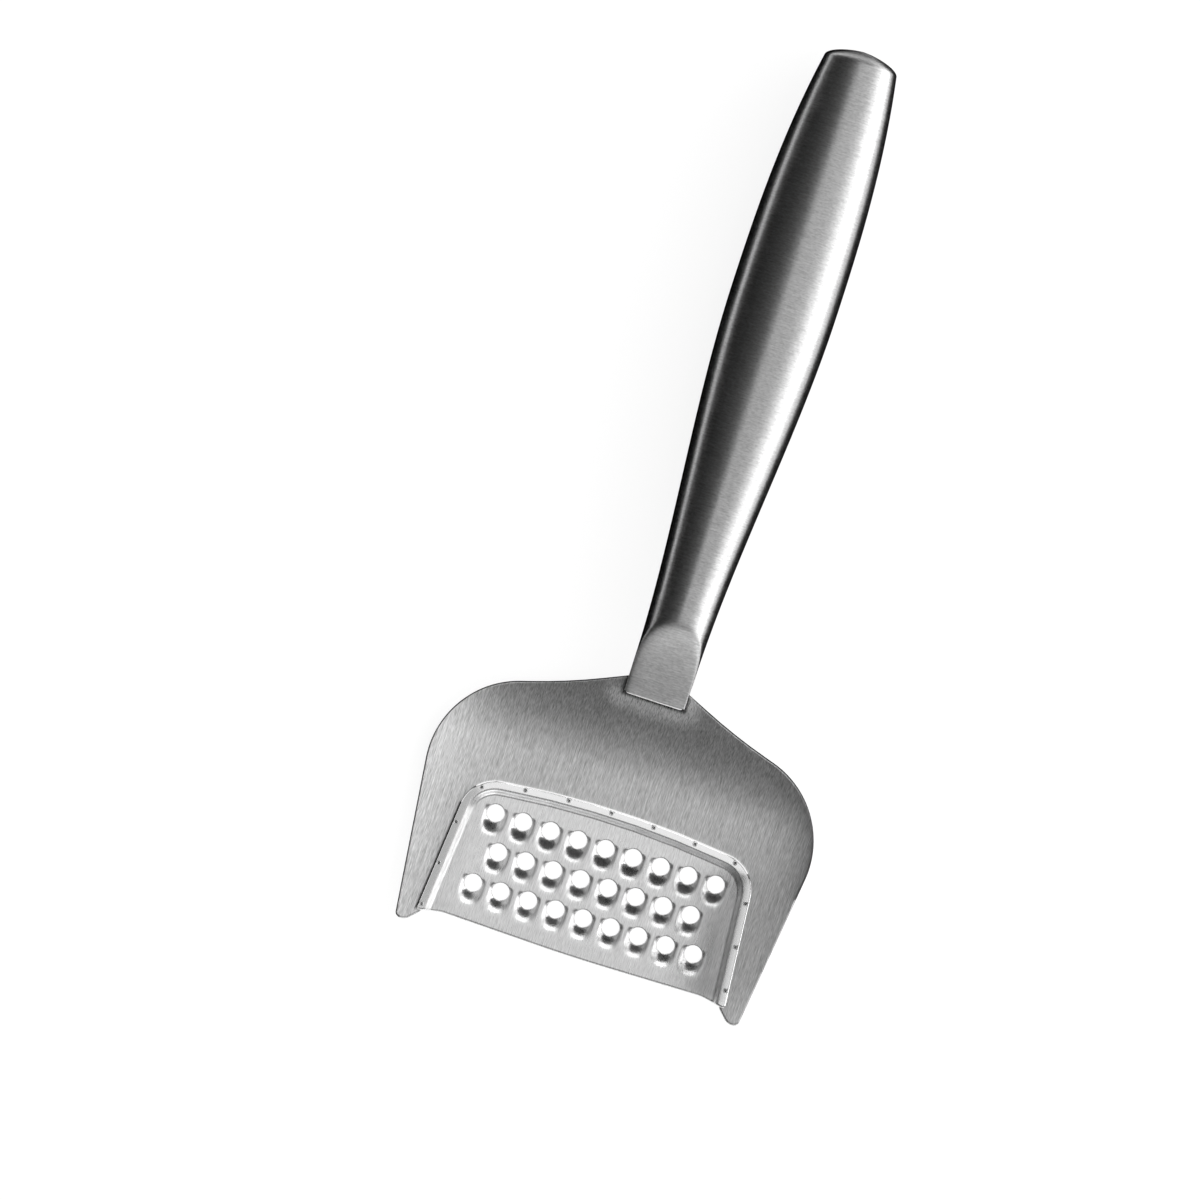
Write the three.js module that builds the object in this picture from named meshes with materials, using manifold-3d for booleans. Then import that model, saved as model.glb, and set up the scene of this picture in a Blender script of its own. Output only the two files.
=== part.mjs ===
// A hand-held cheese grater: a bent sheet blade, a pressed grating plate spot-welded over its cut-out,
// and a hollow steel handle on a solid neck whose tang is welded to the blade.
// Millimetres, +Z up, +Y from the blade's tips to the handle's end, X across.

import * as THREE from "three";
import { mergeVertices } from "three/addons/utils/BufferGeometryUtils.js";
import Module from "manifold-3d";

const wasm = await Module();
wasm.setup();

const DEGREE = Math.PI / 180;

// Setbacks are distances along the tool, measured from the blade's tips.
const TOOL_LENGTH = 240;

// Blade: one sheet, flat in front and bent up to the neck
const BLADE_THICKNESS = 1.2;
const BLADE_WIDTH = 99.6;
const SHOULDER_SETBACK = 42.8;
const SHOULDER_RADIUS = 23.6;
const SIDE_TAPER = 6.85 * DEGREE;
const SHOULDER_SLOPE = 16.9 * DEGREE;
const NECK_SLOPE = 24 * DEGREE;
const REAR_EDGE_RADIUS = 150;
const REAR_EDGE_SETBACK = 75;
const NECK_CORNER_RADIUS = 1;
const PRONG_CHAMFER = 3.3;
const PRONG_OUTER_RADIUS = 1.5;
const PRONG_INNER_RADIUS = 3;
const BEND_SETBACK = 49;
const BEND_RADIUS = 100;
const BEND_ANGLE = 10 * DEGREE;
const TAB_SETBACK = 85.5;
const TAB_WIDTH = 13;
const TAB_CORNER_RADIUS = 2;

// Grating plate: a flange on the blade, a step down and a flat field level with the blade's underside
const PLATE_THICKNESS = 0.6;
const PLATE_SIDE_MARGIN = 8.95;
const PLATE_TAPER = 4.9 * DEGREE;
const PLATE_CORNER_RADIUS = 9.6;
const PLATE_REAR_SETBACK = 42.1;
const PLATE_REAR_SLOPE = 6.7 * DEGREE;
const PLATE_REAR_RADIUS = 235;
const PLATE_FRONT_SETBACK = 3.7;
const PLATE_FRONT_RADIUS = 400;
const FRONT_HOLLOW_WIDTH = 68;
const FRONT_HOLLOW_SETBACK = 4.45;
const FRONT_HOLLOW_RADIUS = 10;
const FLANGE_FRONT_SETBACK = 3.2;
const FLANGE_FRONT_RADIUS = 0.8;
const FLANGE_WIDTH = 2.05;
const STEP_RUN = 1.7;

// Grating teeth: round holes in staggered rows, each with a spoon-shaped hollow pressed in front of it
const ROW_COUNT = 3;
const LONG_ROW_HOLES = 9;
const ROW_PITCH = 9.1;
const HOLE_PITCH = 7.2;
const HOLE_DIAMETER = 4.3;
const FRONT_ROW_SETBACK = 13.9;
const HOOD_DEPTH = 1.6;
const HOOD_WIDTH = 5.4;
const HOOD_REACH = 4.2;

// Spot welds along the flange, and two larger ones between the tang and the blade's tab
const SPOT_COUNT = 13;
const SPOT_DIAMETER = 1.1;
const SPOT_DEPTH = 0.6;
const SPOT_DIMPLE = 0.12;
const SPOT_LEFT_MARGIN = 1.8;
const SPOT_RIGHT_MARGIN = 4.6;
const NECK_WELD_SETBACKS = [75.5, 81];
const NECK_WELD_DIAMETER = 3.6;
const NECK_WELD_DEPTH = 0.4;

// Neck: solid, almost round in section, with a tang seated on the blade and ground hollow above
const TANG_SETBACK = 70.7;
const TANG_END_THICKNESS = 2.8;
const FACET_SETBACK = 90.2;
const UNDER_SCOOP_LENGTH = 6;
const NECK_WIDTH = 15.9;
const NECK_HEIGHT = 15;
const NECK_AXIS_HEIGHT = 3.3;
const KNEE_RADIUS = 80;
const SEAM_MARGIN = 12;
const SPIGOT_LENGTH = 8;

// Handle: two drawn half shells, oval in section, widest at the belly
const SWELL_SETBACK = 79.5;
const BELLY_SETBACK = 175.4;
const BELLY_WIDTH = 27.2;
const BELLY_HEIGHT = 21.2;
const END_WIDTH = 17.5;
const END_HEIGHT = 12;
const END_CURVE = 2.6;
const END_CAP_DEPTH = 3.4;
const END_CAP_CURVE = 0.66;
const HANDLE_WALL = 1;

// Clearances
const SEAT_GAP = 0.05;
const CUTOUT_GAP = 0.3;
const TAB_GAP = 0.3;
const SPIGOT_GAP = 0.2;
const WELD_GAP = 0.06;

// Fineness of the facets, and how far cutting bodies reach past what they cut
const ARC_STEP = 9 * DEGREE;
const SECTION_SIDES = 32;
const HOLE_SIDES = 16;
const HOOD_SIDES = 12;
const SPOT_SIDES = 10;
const REACH = 30;

// Lengths worked out from the sizes above
const SEAT_LEVEL = BLADE_THICKNESS + SEAT_GAP;
const PLATE_FRONT_WIDTH = BLADE_WIDTH - 2 * PLATE_SIDE_MARGIN;
const PLATE_SIDE_HEADING = Math.PI / 2 + PLATE_TAPER;
const AXIS_LEVEL = BELLY_HEIGHT / 2 - HOOD_DEPTH;
const KNEE = neckKnee();
const SEAM_SETBACK = KNEE.end + SEAM_MARGIN;

// Closed body of a geometry, for booleans. Triangles that collapse at a pole are left out.
function body(geometry) {
  const bare = new THREE.BufferGeometry();
  bare.setAttribute("position", geometry.getAttribute("position"));
  bare.setIndex(geometry.getIndex());
  const merged = mergeVertices(bare, 1e-5);
  const index = merged.getIndex().array;
  const kept = [];
  for (let i = 0; i < index.length; i += 3) {
    const [a, b, c] = [index[i], index[i + 1], index[i + 2]];
    if (a !== b && b !== c && c !== a) {
      kept.push(a, b, c);
    }
  }
  const mesh = new wasm.Mesh({
    numProp: 3,
    vertProperties: new Float32Array(merged.getAttribute("position").array),
    triVerts: new Uint32Array(kept),
  });
  return new wasm.Manifold(mesh);
}

function geometryOf(manifold) {
  const mesh = manifold.getMesh();
  const geometry = new THREE.BufferGeometry();
  geometry.setAttribute("position", new THREE.BufferAttribute(mesh.vertProperties, 3));
  geometry.setIndex(new THREE.BufferAttribute(mesh.triVerts, 1));
  geometry.computeVertexNormals();
  return geometry;
}

const union = (bodies) => wasm.Manifold.union(bodies);

// Where two lines meet, each given by a point and a heading.
function meet(pointA, headingA, pointB, headingB) {
  const turn = Math.sin(headingB - headingA);
  const offset = [pointB[0] - pointA[0], pointB[1] - pointA[1]];
  const along = (offset[0] * Math.sin(headingB) - offset[1] * Math.cos(headingB)) / turn;
  return [pointA[0] + along * Math.cos(headingA), pointA[1] + along * Math.sin(headingA)];
}

const heading = (from, to) => Math.atan2(to[1] - from[1], to[0] - from[0]);
const distance = (from, to) => Math.hypot(to[0] - from[0], to[1] - from[1]);
const wrapped = (angle) => Math.atan2(Math.sin(angle), Math.cos(angle));

// Points of a closed outline given by its corners, each [x, y, radius], run counter-clockwise.
// Where two roundings would overlap on an edge, both are shortened to fit it.
function roundedOutline(corners) {
  const count = corners.length;
  const next = (i) => corners[(i + 1) % count];
  const headings = corners.map((corner, i) => heading(corner, next(i)));
  const turns = corners.map((_, i) => wrapped(headings[i] - headings[(i + count - 1) % count]));
  const tangents = corners.map((corner, i) => corner[2] * Math.tan(Math.abs(turns[i]) / 2));
  corners.forEach((corner, i) => {
    const room = distance(corner, next(i));
    const share = room / (tangents[i] + tangents[(i + 1) % count]);
    if (share < 1) {
      tangents[i] *= share;
      tangents[(i + 1) % count] *= share;
    }
  });
  const points = [];
  corners.forEach((corner, i) => {
    const turn = turns[i];
    const arrival = headings[(i + count - 1) % count];
    const radius = tangents[i] / Math.tan(Math.abs(turn) / 2);
    if (radius < 0.01) {
      points.push(new THREE.Vector2(corner[0], corner[1]));
      return;
    }
    const side = Math.sign(turn);
    const startX = corner[0] - tangents[i] * Math.cos(arrival);
    const startY = corner[1] - tangents[i] * Math.sin(arrival);
    const steps = Math.max(2, Math.ceil(Math.abs(turn) / ARC_STEP));
    for (let step = 0; step <= steps; step += 1) {
      const now = arrival + (turn * step) / steps;
      const across = side * radius;
      points.push(new THREE.Vector2(
        startX + across * (Math.sin(now) - Math.sin(arrival)),
        startY - across * (Math.cos(now) - Math.cos(arrival)),
      ));
    }
  });
  return points;
}

// The corners of a left half, mirrored from those of a right half and run the other way.
const mirrored = (corners) => corners.map(([x, y, radius]) => [-x, y, radius]).reverse();

// A flat outline carried upward from one level to another.
function upright(points, bottom, top) {
  const options = { depth: top - bottom, bevelEnabled: false };
  const geometry = new THREE.ExtrudeGeometry(new THREE.Shape(points), options);
  return body(geometry.translate(0, 0, bottom));
}

// A side view, given as [y, z] points, carried across the tool.
function crosswise(points) {
  const shape = new THREE.Shape(points.map(([y, z]) => new THREE.Vector2(y, z)));
  const geometry = new THREE.ExtrudeGeometry(shape, { depth: 4 * REACH, bevelEnabled: false });
  geometry.translate(0, 0, -2 * REACH);
  const across = new THREE.Matrix4().makeBasis(
    new THREE.Vector3(0, 1, 0),
    new THREE.Vector3(0, 0, 1),
    new THREE.Vector3(1, 0, 0),
  );
  return body(geometry.applyMatrix4(across));
}

// A skin over convex rings of points, closed at both ends.
function loft(rings) {
  const sides = rings[0].length;
  const position = rings.flat().flatMap((point) => point.toArray());
  const index = [];
  for (let ring = 0; ring + 1 < rings.length; ring += 1) {
    for (let side = 0; side < sides; side += 1) {
      const a = ring * sides + side;
      const b = ring * sides + ((side + 1) % sides);
      index.push(a, b, b + sides, a, b + sides, a + sides);
    }
  }
  const last = (rings.length - 1) * sides;
  for (let side = 1; side + 1 < sides; side += 1) {
    index.push(0, side + 1, side, last, last + side, last + side + 1);
  }
  const geometry = new THREE.BufferGeometry();
  geometry.setAttribute("position", new THREE.Float32BufferAttribute(position, 3));
  geometry.setIndex(index);
  return body(geometry);
}

// A round bar standing on a point.
function post(x, y, bottom, top, diameter, sides) {
  const bar = new THREE.CylinderGeometry(diameter / 2, diameter / 2, top - bottom, sides);
  bar.rotateX(Math.PI / 2);
  return body(bar.translate(x, y, (bottom + top) / 2));
}

// Evenly spaced values from one to another, both included.
function spaced(from, to, steps) {
  return Array.from({ length: steps + 1 }, (_, i) => from + ((to - from) * i) / steps);
}

// Height of a line that runs beside the bent sheet, a given distance above its underside.
function sheetLevel(y, above) {
  const radius = BEND_RADIUS - above;
  const bendEnd = BEND_SETBACK + radius * Math.sin(BEND_ANGLE);
  if (y <= BEND_SETBACK) {
    return above;
  }
  if (y <= bendEnd) {
    return BEND_RADIUS - Math.sqrt(radius ** 2 - (y - BEND_SETBACK) ** 2);
  }
  return BEND_RADIUS - radius * Math.cos(BEND_ANGLE) + (y - bendEnd) * Math.tan(BEND_ANGLE);
}

// That line as points, from in front of the tips to a given setback.
function sheetLine(above, end) {
  const bendEnd = BEND_SETBACK + (BEND_RADIUS - above) * Math.sin(BEND_ANGLE);
  const stations = [-REACH, ...spaced(BEND_SETBACK, bendEnd, 6), end];
  return stations.map((y) => [y, sheetLevel(y, above)]);
}

// Blade

function bladeOutline() {
  const centre = [BLADE_WIDTH / 2 - SHOULDER_RADIUS, SHOULDER_SETBACK];
  const onShoulder = (angle) => [
    centre[0] + SHOULDER_RADIUS * Math.cos(angle),
    centre[1] + SHOULDER_RADIUS * Math.sin(angle),
  ];
  const sidePoint = onShoulder(-SIDE_TAPER);
  const sideHeading = Math.PI / 2 - SIDE_TAPER;
  const rearPoint = onShoulder(Math.PI / 2 - SHOULDER_SLOPE);
  const rearHeading = Math.PI - SHOULDER_SLOPE;
  const neckPoint = [NECK_WIDTH / 2, REAR_EDGE_SETBACK];
  const neckHeading = Math.PI - NECK_SLOPE;
  const tip = meet(sidePoint, sideHeading, [0, 0], 0);
  const shoulder = meet(sidePoint, sideHeading, rearPoint, rearHeading);
  const rearHollow = meet(rearPoint, rearHeading, neckPoint, neckHeading);
  const neckCorner = meet(neckPoint, neckHeading, [TAB_WIDTH / 2, 0], Math.PI / 2);
  const outer = [
    [...tip, PRONG_OUTER_RADIUS],
    [...shoulder, SHOULDER_RADIUS],
    [...rearHollow, REAR_EDGE_RADIUS],
    [...neckCorner, NECK_CORNER_RADIUS],
    [TAB_WIDTH / 2, TAB_SETBACK, TAB_CORNER_RADIUS],
  ];
  const [cutCorner, cutCentre] = plateSideCorners(FLANGE_WIDTH - CUTOUT_GAP);
  const chamferTop = meet(cutCorner, PLATE_SIDE_HEADING, [0, PRONG_CHAMFER], 0);
  const noseX = Math.min(chamferTop[0] + PRONG_CHAMFER, tip[0] - PRONG_OUTER_RADIUS);
  const inner = [
    cutCorner,
    [...chamferTop, PRONG_INNER_RADIUS],
    [noseX, 0, PRONG_INNER_RADIUS],
  ];
  return roundedOutline([...outer, ...mirrored(outer), ...mirrored(inner), cutCentre, ...inner]);
}

function bladeGeometry() {
  const underside = sheetLine(0, TAB_SETBACK + REACH);
  const topside = sheetLine(BLADE_THICKNESS, TAB_SETBACK + REACH);
  const sheet = crosswise([...underside, ...topside.reverse()]);
  const blade = upright(bladeOutline(), -REACH, REACH).intersect(sheet);
  const pockets = spotPlaces().map(([x, y]) => {
    const floor = BLADE_THICKNESS - SPOT_DEPTH - WELD_GAP;
    return post(x, y, floor, 2 * BLADE_THICKNESS, SPOT_DIAMETER + 2 * WELD_GAP, SPOT_SIDES);
  });
  return geometryOf(blade.subtract(union([...pockets, ...neckWeldPockets()])));
}

// Grating plate

// Rear corner and rear midpoint of the plate's edge, moved inward by an inset.
function plateSideCorners(inset) {
  const rearHeading = Math.PI - PLATE_REAR_SLOPE;
  const sidePoint = [PLATE_FRONT_WIDTH / 2 - inset / Math.cos(PLATE_TAPER), 0];
  const rearRadius = PLATE_REAR_RADIUS - inset;
  const rearTop = PLATE_REAR_SETBACK - inset + rearRadius * (1 / Math.cos(PLATE_REAR_SLOPE) - 1);
  const corner = meet(sidePoint, PLATE_SIDE_HEADING, [0, rearTop], rearHeading);
  const cornerRadius = Math.max(PLATE_CORNER_RADIUS - inset, 0);
  return [[...corner, cornerRadius], [0, rearTop, rearRadius]];
}

// Outline of the pressed tray at an inset, carried straight on past the plate's front edge.
function trayOutline(inset) {
  const [corner, rear] = plateSideCorners(inset);
  const front = meet(corner, PLATE_SIDE_HEADING, [0, -REACH], 0);
  const right = [[...front, 0], corner];
  return roundedOutline([...right, rear, ...mirrored(right)]);
}

function plateOutline() {
  const [corner, rear] = plateSideCorners(0);
  const flangeFront = meet(corner, PLATE_SIDE_HEADING, [0, FLANGE_FRONT_SETBACK], 0);
  const right = [
    [FRONT_HOLLOW_WIDTH / 2, FRONT_HOLLOW_SETBACK, FRONT_HOLLOW_RADIUS],
    [...flangeFront, FLANGE_FRONT_RADIUS],
    corner,
  ];
  const front = [0, PLATE_FRONT_SETBACK, PLATE_FRONT_RADIUS];
  return roundedOutline([front, ...right, rear, ...mirrored(right)]);
}

// The tray's hollow: the field at the bottom, the sloped step up to the flange, and on upward.
function trayHollow(bottom, top) {
  const ring = (inset, z) => trayOutline(inset).map((point) => new THREE.Vector3(point.x, point.y, z));
  return loft([
    ring(FLANGE_WIDTH + STEP_RUN, bottom),
    ring(FLANGE_WIDTH, bottom + SEAT_LEVEL),
    ring(FLANGE_WIDTH, top),
  ]);
}

// Middle of each hole: rows run from the front to the rear, and every second row has one hole less.
function holePlaces() {
  const places = [];
  for (let row = 0; row < ROW_COUNT; row += 1) {
    const count = LONG_ROW_HOLES - (row % 2);
    for (let hole = 0; hole < count; hole += 1) {
      const x = (hole - (count - 1) / 2) * HOLE_PITCH;
      places.push([x, FRONT_ROW_SETBACK + row * ROW_PITCH]);
    }
  }
  return places;
}

// A spoon-shaped plug below a level, deepest at the front rim of a hole, revolved and then stretched.
function hoodPlug([x, y], level, top) {
  const share = [0, 0.45, 0.8, 1];
  const profile = share.map((r) => new THREE.Vector2(r, -HOOD_DEPTH * Math.cos((r * Math.PI) / 2)));
  profile.push(new THREE.Vector2(1, top - level), new THREE.Vector2(0, top - level));
  const plug = new THREE.LatheGeometry(profile, HOOD_SIDES);
  plug.rotateX(Math.PI / 2);
  plug.scale(HOOD_WIDTH / 2, HOOD_REACH, 1);
  return body(plug.translate(x, y - HOLE_DIAMETER / 2, level));
}

function gratingPlateGeometry() {
  const flangeTop = SEAT_LEVEL + PLATE_THICKNESS;
  const sheet = upright(trayOutline(-REACH / 2), SEAT_LEVEL, flangeTop);
  const pan = trayHollow(0, SEAT_LEVEL + PLATE_THICKNESS / 2);
  const hollow = trayHollow(PLATE_THICKNESS, REACH);
  const tray = union([sheet, pan]).subtract(hollow).intersect(upright(plateOutline(), -REACH, REACH));
  const places = holePlaces();
  const hoods = places.map((place) => hoodPlug(place, 0, PLATE_THICKNESS / 2));
  const spoons = places.map((place) => hoodPlug(place, PLATE_THICKNESS, REACH));
  const holes = places.map(([x, y]) => post(x, y, -REACH, REACH, HOLE_DIAMETER, HOLE_SIDES));
  const pockets = spotPlaces().map(([x, y]) => (
    post(x, y, -REACH, REACH, SPOT_DIAMETER + 2 * WELD_GAP, SPOT_SIDES)
  ));
  return geometryOf(union([tray, ...hoods]).subtract(union([...spoons, ...holes, ...pockets])));
}

// Spot welds

// Places evenly spaced along the middle of the flange, from its right front end round to its left one.
function spotPlaces() {
  const [corner, rear] = plateSideCorners(FLANGE_WIDTH / 2);
  const end = (margin) => meet(corner, PLATE_SIDE_HEADING, [0, FLANGE_FRONT_SETBACK + margin], 0);
  const right = [...end(SPOT_RIGHT_MARGIN), 0];
  const [left] = mirrored([[...end(SPOT_LEFT_MARGIN), 0]]);
  const path = new THREE.Path(roundedOutline([right, corner, rear, ...mirrored([corner]), left]));
  return spaced(0, 1, SPOT_COUNT - 1).map((share) => path.getPoint(share).toArray());
}

// A weld nugget through the flange into the blade, dished on top by the welding tip.
function spotWeldGeometry() {
  const radius = SPOT_DIAMETER / 2;
  const top = SEAT_GAP + PLATE_THICKNESS;
  const profile = [
    new THREE.Vector2(0, -SPOT_DEPTH),
    new THREE.Vector2(radius, -SPOT_DEPTH),
    new THREE.Vector2(radius, top),
    new THREE.Vector2(0, top - SPOT_DIMPLE),
  ];
  const nugget = new THREE.LatheGeometry(profile, SPOT_SIDES);
  return geometryOf(body(nugget.rotateX(Math.PI / 2)));
}

// A flat nugget half in the blade's tab and half in the tang, square to the tilted sheet.
function neckWeld(y, gap) {
  const height = 2 * NECK_WELD_DEPTH + SEAT_GAP + 2 * gap;
  const radius = NECK_WELD_DIAMETER / 2 + gap;
  const nugget = new THREE.CylinderGeometry(radius, radius, height, HOLE_SIDES);
  nugget.rotateX(Math.PI / 2 + BEND_ANGLE);
  return body(nugget.translate(0, y, sheetLevel(y, BLADE_THICKNESS + SEAT_GAP / 2)));
}

const neckWeldPockets = () => NECK_WELD_SETBACKS.map((y) => neckWeld(y, WELD_GAP));

// Neck and handle

// The handle's axis leaves the neck in line with the bent sheet and turns level over an arc.
function neckKnee() {
  const above = SEAT_LEVEL + NECK_AXIS_HEIGHT;
  const start = BEND_SETBACK + BEND_RADIUS * Math.sin(BEND_ANGLE);
  const corner = start + (AXIS_LEVEL - sheetLevel(start, above)) / Math.tan(BEND_ANGLE);
  const tangent = KNEE_RADIUS * Math.tan(BEND_ANGLE / 2);
  return { above, start: corner - tangent * Math.cos(BEND_ANGLE), end: corner + tangent };
}

function axisLevel(y) {
  if (y <= KNEE.start) {
    return sheetLevel(y, KNEE.above);
  }
  const short = Math.max(KNEE.end - y, 0);
  return AXIS_LEVEL - KNEE_RADIUS + Math.sqrt(KNEE_RADIUS ** 2 - short ** 2);
}

// A size of the handle's section along its length, from its values at the neck, the belly and the end.
function swell(y, neck, belly, end) {
  if (y < BELLY_SETBACK) {
    return THREE.MathUtils.lerp(neck, belly, THREE.MathUtils.smoothstep(y, SWELL_SETBACK, BELLY_SETBACK));
  }
  const along = (y - BELLY_SETBACK) / (TOOL_LENGTH - BELLY_SETBACK);
  return THREE.MathUtils.lerp(belly, end, along ** END_CURVE);
}

// Share of its full size that the section keeps on the rounded end.
function endCap(y) {
  const along = Math.min(Math.max((y - TOOL_LENGTH) / END_CAP_DEPTH + 1, 0), 1);
  return (1 - along ** 2) ** END_CAP_CURVE;
}

// The oval section at a station, moved inward by an inset.
function section(y, inset) {
  const cap = endCap(y + inset);
  const halfWidth = (swell(y, NECK_WIDTH, BELLY_WIDTH, END_WIDTH) / 2 - inset) * cap;
  const halfHeight = (swell(y, NECK_HEIGHT, BELLY_HEIGHT, END_HEIGHT) / 2 - inset) * cap;
  return Array.from({ length: SECTION_SIDES }, (_, i) => {
    const angle = (-2 * Math.PI * i) / SECTION_SIDES;
    const z = axisLevel(y) + halfHeight * Math.sin(angle);
    return new THREE.Vector3(halfWidth * Math.cos(angle), y, z);
  });
}

const skin = (stations, inset) => loft(stations.map((y) => section(y, inset)));

// Stations from a start to the handle's end, closer together on the rounded end.
function gripStations(start, inset) {
  const end = TOOL_LENGTH - inset;
  const capStart = end - END_CAP_DEPTH;
  const onCap = [0.3, 0.55, 0.75, 0.9, 0.97, 1].map((share) => capStart + share * END_CAP_DEPTH);
  return [...spaced(start, capStart, 14), ...onCap];
}

// Height of the tang's upper face: level with the blade at its end, and ground in an arc that reaches the
// neck's crown.
function facetLevel(y) {
  const run = FACET_SETBACK - TANG_SETBACK;
  const crown = axisLevel(FACET_SETBACK) + swell(FACET_SETBACK, NECK_HEIGHT, BELLY_HEIGHT, END_HEIGHT) / 2;
  const rise = crown - sheetLevel(FACET_SETBACK, SEAT_LEVEL + TANG_END_THICKNESS);
  const radius = (run ** 2 + rise ** 2) / (2 * rise);
  const hollow = radius - Math.sqrt(radius ** 2 - (y - TANG_SETBACK) ** 2);
  return sheetLevel(y, SEAT_LEVEL + TANG_END_THICKNESS) + hollow;
}

// Side view of the tang: flat on the blade, hollow above, and flush with the tab's underside behind it.
function tangSideView() {
  const shoulder = TAB_SETBACK + TAB_GAP;
  const under = spaced(0, 1, 6).map((share) => {
    const y = shoulder + share * UNDER_SCOOP_LENGTH;
    return [y, sheetLevel(y, 0) - (NECK_HEIGHT / 4) * (1 - Math.cos(Math.PI * share))];
  });
  const facet = spaced(FACET_SETBACK, TANG_SETBACK, 12).map((y) => [y, facetLevel(y)]);
  return [
    [TANG_SETBACK, sheetLevel(TANG_SETBACK, SEAT_LEVEL)],
    [shoulder, sheetLevel(shoulder, SEAT_LEVEL)],
    ...under,
    [shoulder + UNDER_SCOOP_LENGTH, -REACH],
    [SEAM_SETBACK + REACH, -REACH],
    [SEAM_SETBACK + REACH, 2 * REACH],
    [FACET_SETBACK, 2 * REACH],
    ...facet,
  ];
}

function neckGeometry() {
  const bar = skin(spaced(TANG_SETBACK - HANDLE_WALL, SEAM_SETBACK, 14), 0);
  const neck = bar.intersect(crosswise(tangSideView()));
  const spigotStart = SEAM_SETBACK - HANDLE_WALL;
  const spigot = skin(spaced(spigotStart, SEAM_SETBACK + SPIGOT_LENGTH, 3), HANDLE_WALL + SPIGOT_GAP);
  return geometryOf(union([neck, spigot]).subtract(union(neckWeldPockets())));
}

// Half of the hollow grip, above or below the level of its axis.
function shellGeometry(isUpper) {
  const outside = skin(gripStations(SEAM_SETBACK, 0), 0);
  const inside = skin(gripStations(SEAM_SETBACK - HANDLE_WALL, HANDLE_WALL), HANDLE_WALL);
  const [bottom, top] = isUpper ? [AXIS_LEVEL, 2 * REACH] : [-REACH, AXIS_LEVEL];
  const keep = [[0, bottom], [2 * TOOL_LENGTH, bottom], [2 * TOOL_LENGTH, top], [0, top]];
  return geometryOf(outside.subtract(inside).intersect(crosswise(keep)));
}

// Materials and assembly

const steel = (colour, roughness) => (
  new THREE.MeshStandardMaterial({ color: colour, roughness, metalness: 1 })
);
const brushedSteel = steel(0xb4b5b6, 0.34);
const satinSteel = steel(0xbcbdbe, 0.28);
const pressedSteel = steel(0xc6c7c8, 0.3);
const weldSteel = steel(0x77736d, 0.45);

const grater = new THREE.Group();
grater.name = "cheese_grater";

// Placed so that the middle of the tool is over the origin and the lips of the teeth are on the ground.
const tool = new THREE.Group();
tool.position.set(0, -TOOL_LENGTH / 2, HOOD_DEPTH);
grater.add(tool);

function add(name, geometry, material, position = [0, 0, 0]) {
  const mesh = new THREE.Mesh(geometry, material);
  mesh.name = name;
  mesh.position.set(...position);
  tool.add(mesh);
}

add("blade", bladeGeometry(), brushedSteel);
add("grating_plate", gratingPlateGeometry(), pressedSteel);
add("neck_bolster", neckGeometry(), satinSteel);
add("handle_upper_shell", shellGeometry(true), satinSteel);
add("handle_lower_shell", shellGeometry(false), satinSteel);

spotPlaces().forEach(([x, y], i) => {
  const name = `spot_weld_${String(i + 1).padStart(2, "0")}`;
  add(name, spotWeldGeometry(), weldSteel, [x, y, BLADE_THICKNESS]);
});

NECK_WELD_SETBACKS.forEach((y, i) => {
  add(`neck_weld_${i + 1}`, geometryOf(neckWeld(y, 0)), weldSteel);
});

export default grater;
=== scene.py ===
# A hand-held cheese grater in brushed steel, lying on a pale floor and seen from straight above.
# Sizes are in millimetres, as in the part's source, and are turned into metres where a mesh is made.

import math

import bmesh
import bpy
import numpy as np
from mathutils.geometry import delaunay_2d_cdt
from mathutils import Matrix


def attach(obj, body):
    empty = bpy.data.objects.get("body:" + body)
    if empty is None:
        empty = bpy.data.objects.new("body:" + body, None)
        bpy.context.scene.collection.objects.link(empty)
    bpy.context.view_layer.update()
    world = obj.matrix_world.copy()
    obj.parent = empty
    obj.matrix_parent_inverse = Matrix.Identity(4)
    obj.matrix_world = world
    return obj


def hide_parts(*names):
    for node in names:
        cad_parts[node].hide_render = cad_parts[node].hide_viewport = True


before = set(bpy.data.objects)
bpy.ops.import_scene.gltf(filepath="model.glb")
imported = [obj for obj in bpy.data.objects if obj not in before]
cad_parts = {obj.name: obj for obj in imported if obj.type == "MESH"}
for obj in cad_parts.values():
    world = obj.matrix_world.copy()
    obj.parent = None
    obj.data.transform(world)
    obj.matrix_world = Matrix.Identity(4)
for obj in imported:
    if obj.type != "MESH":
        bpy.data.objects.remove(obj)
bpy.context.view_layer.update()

MM = 0.001
DEGREE = math.pi / 180

# Lengths below this count as none.
TINY = 1e-6

# Setbacks are distances along the tool, measured from the blade's tips.
TOOL_LENGTH = 240

# Blade
BLADE_THICKNESS = 1.2
BLADE_WIDTH = 99.6
BLADE_EDGE = 0.52
SHOULDER_SETBACK = 42.8
SHOULDER_RADIUS = 23.6
SIDE_TAPER = 6.85 * DEGREE
SHOULDER_SLOPE = 16.9 * DEGREE
NECK_SLOPE = 24 * DEGREE
REAR_EDGE_RADIUS = 150
REAR_EDGE_SETBACK = 75
NECK_CORNER_RADIUS = 1
PRONG_CHAMFER = 3.3
PRONG_OUTER_RADIUS = 1.5
PRONG_INNER_RADIUS = 3
BEND_SETBACK = 49
BEND_RADIUS = 100
BEND_ANGLE = 10 * DEGREE
TAB_SETBACK = 85.5
TAB_WIDTH = 13
TAB_CORNER_RADIUS = 2

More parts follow.
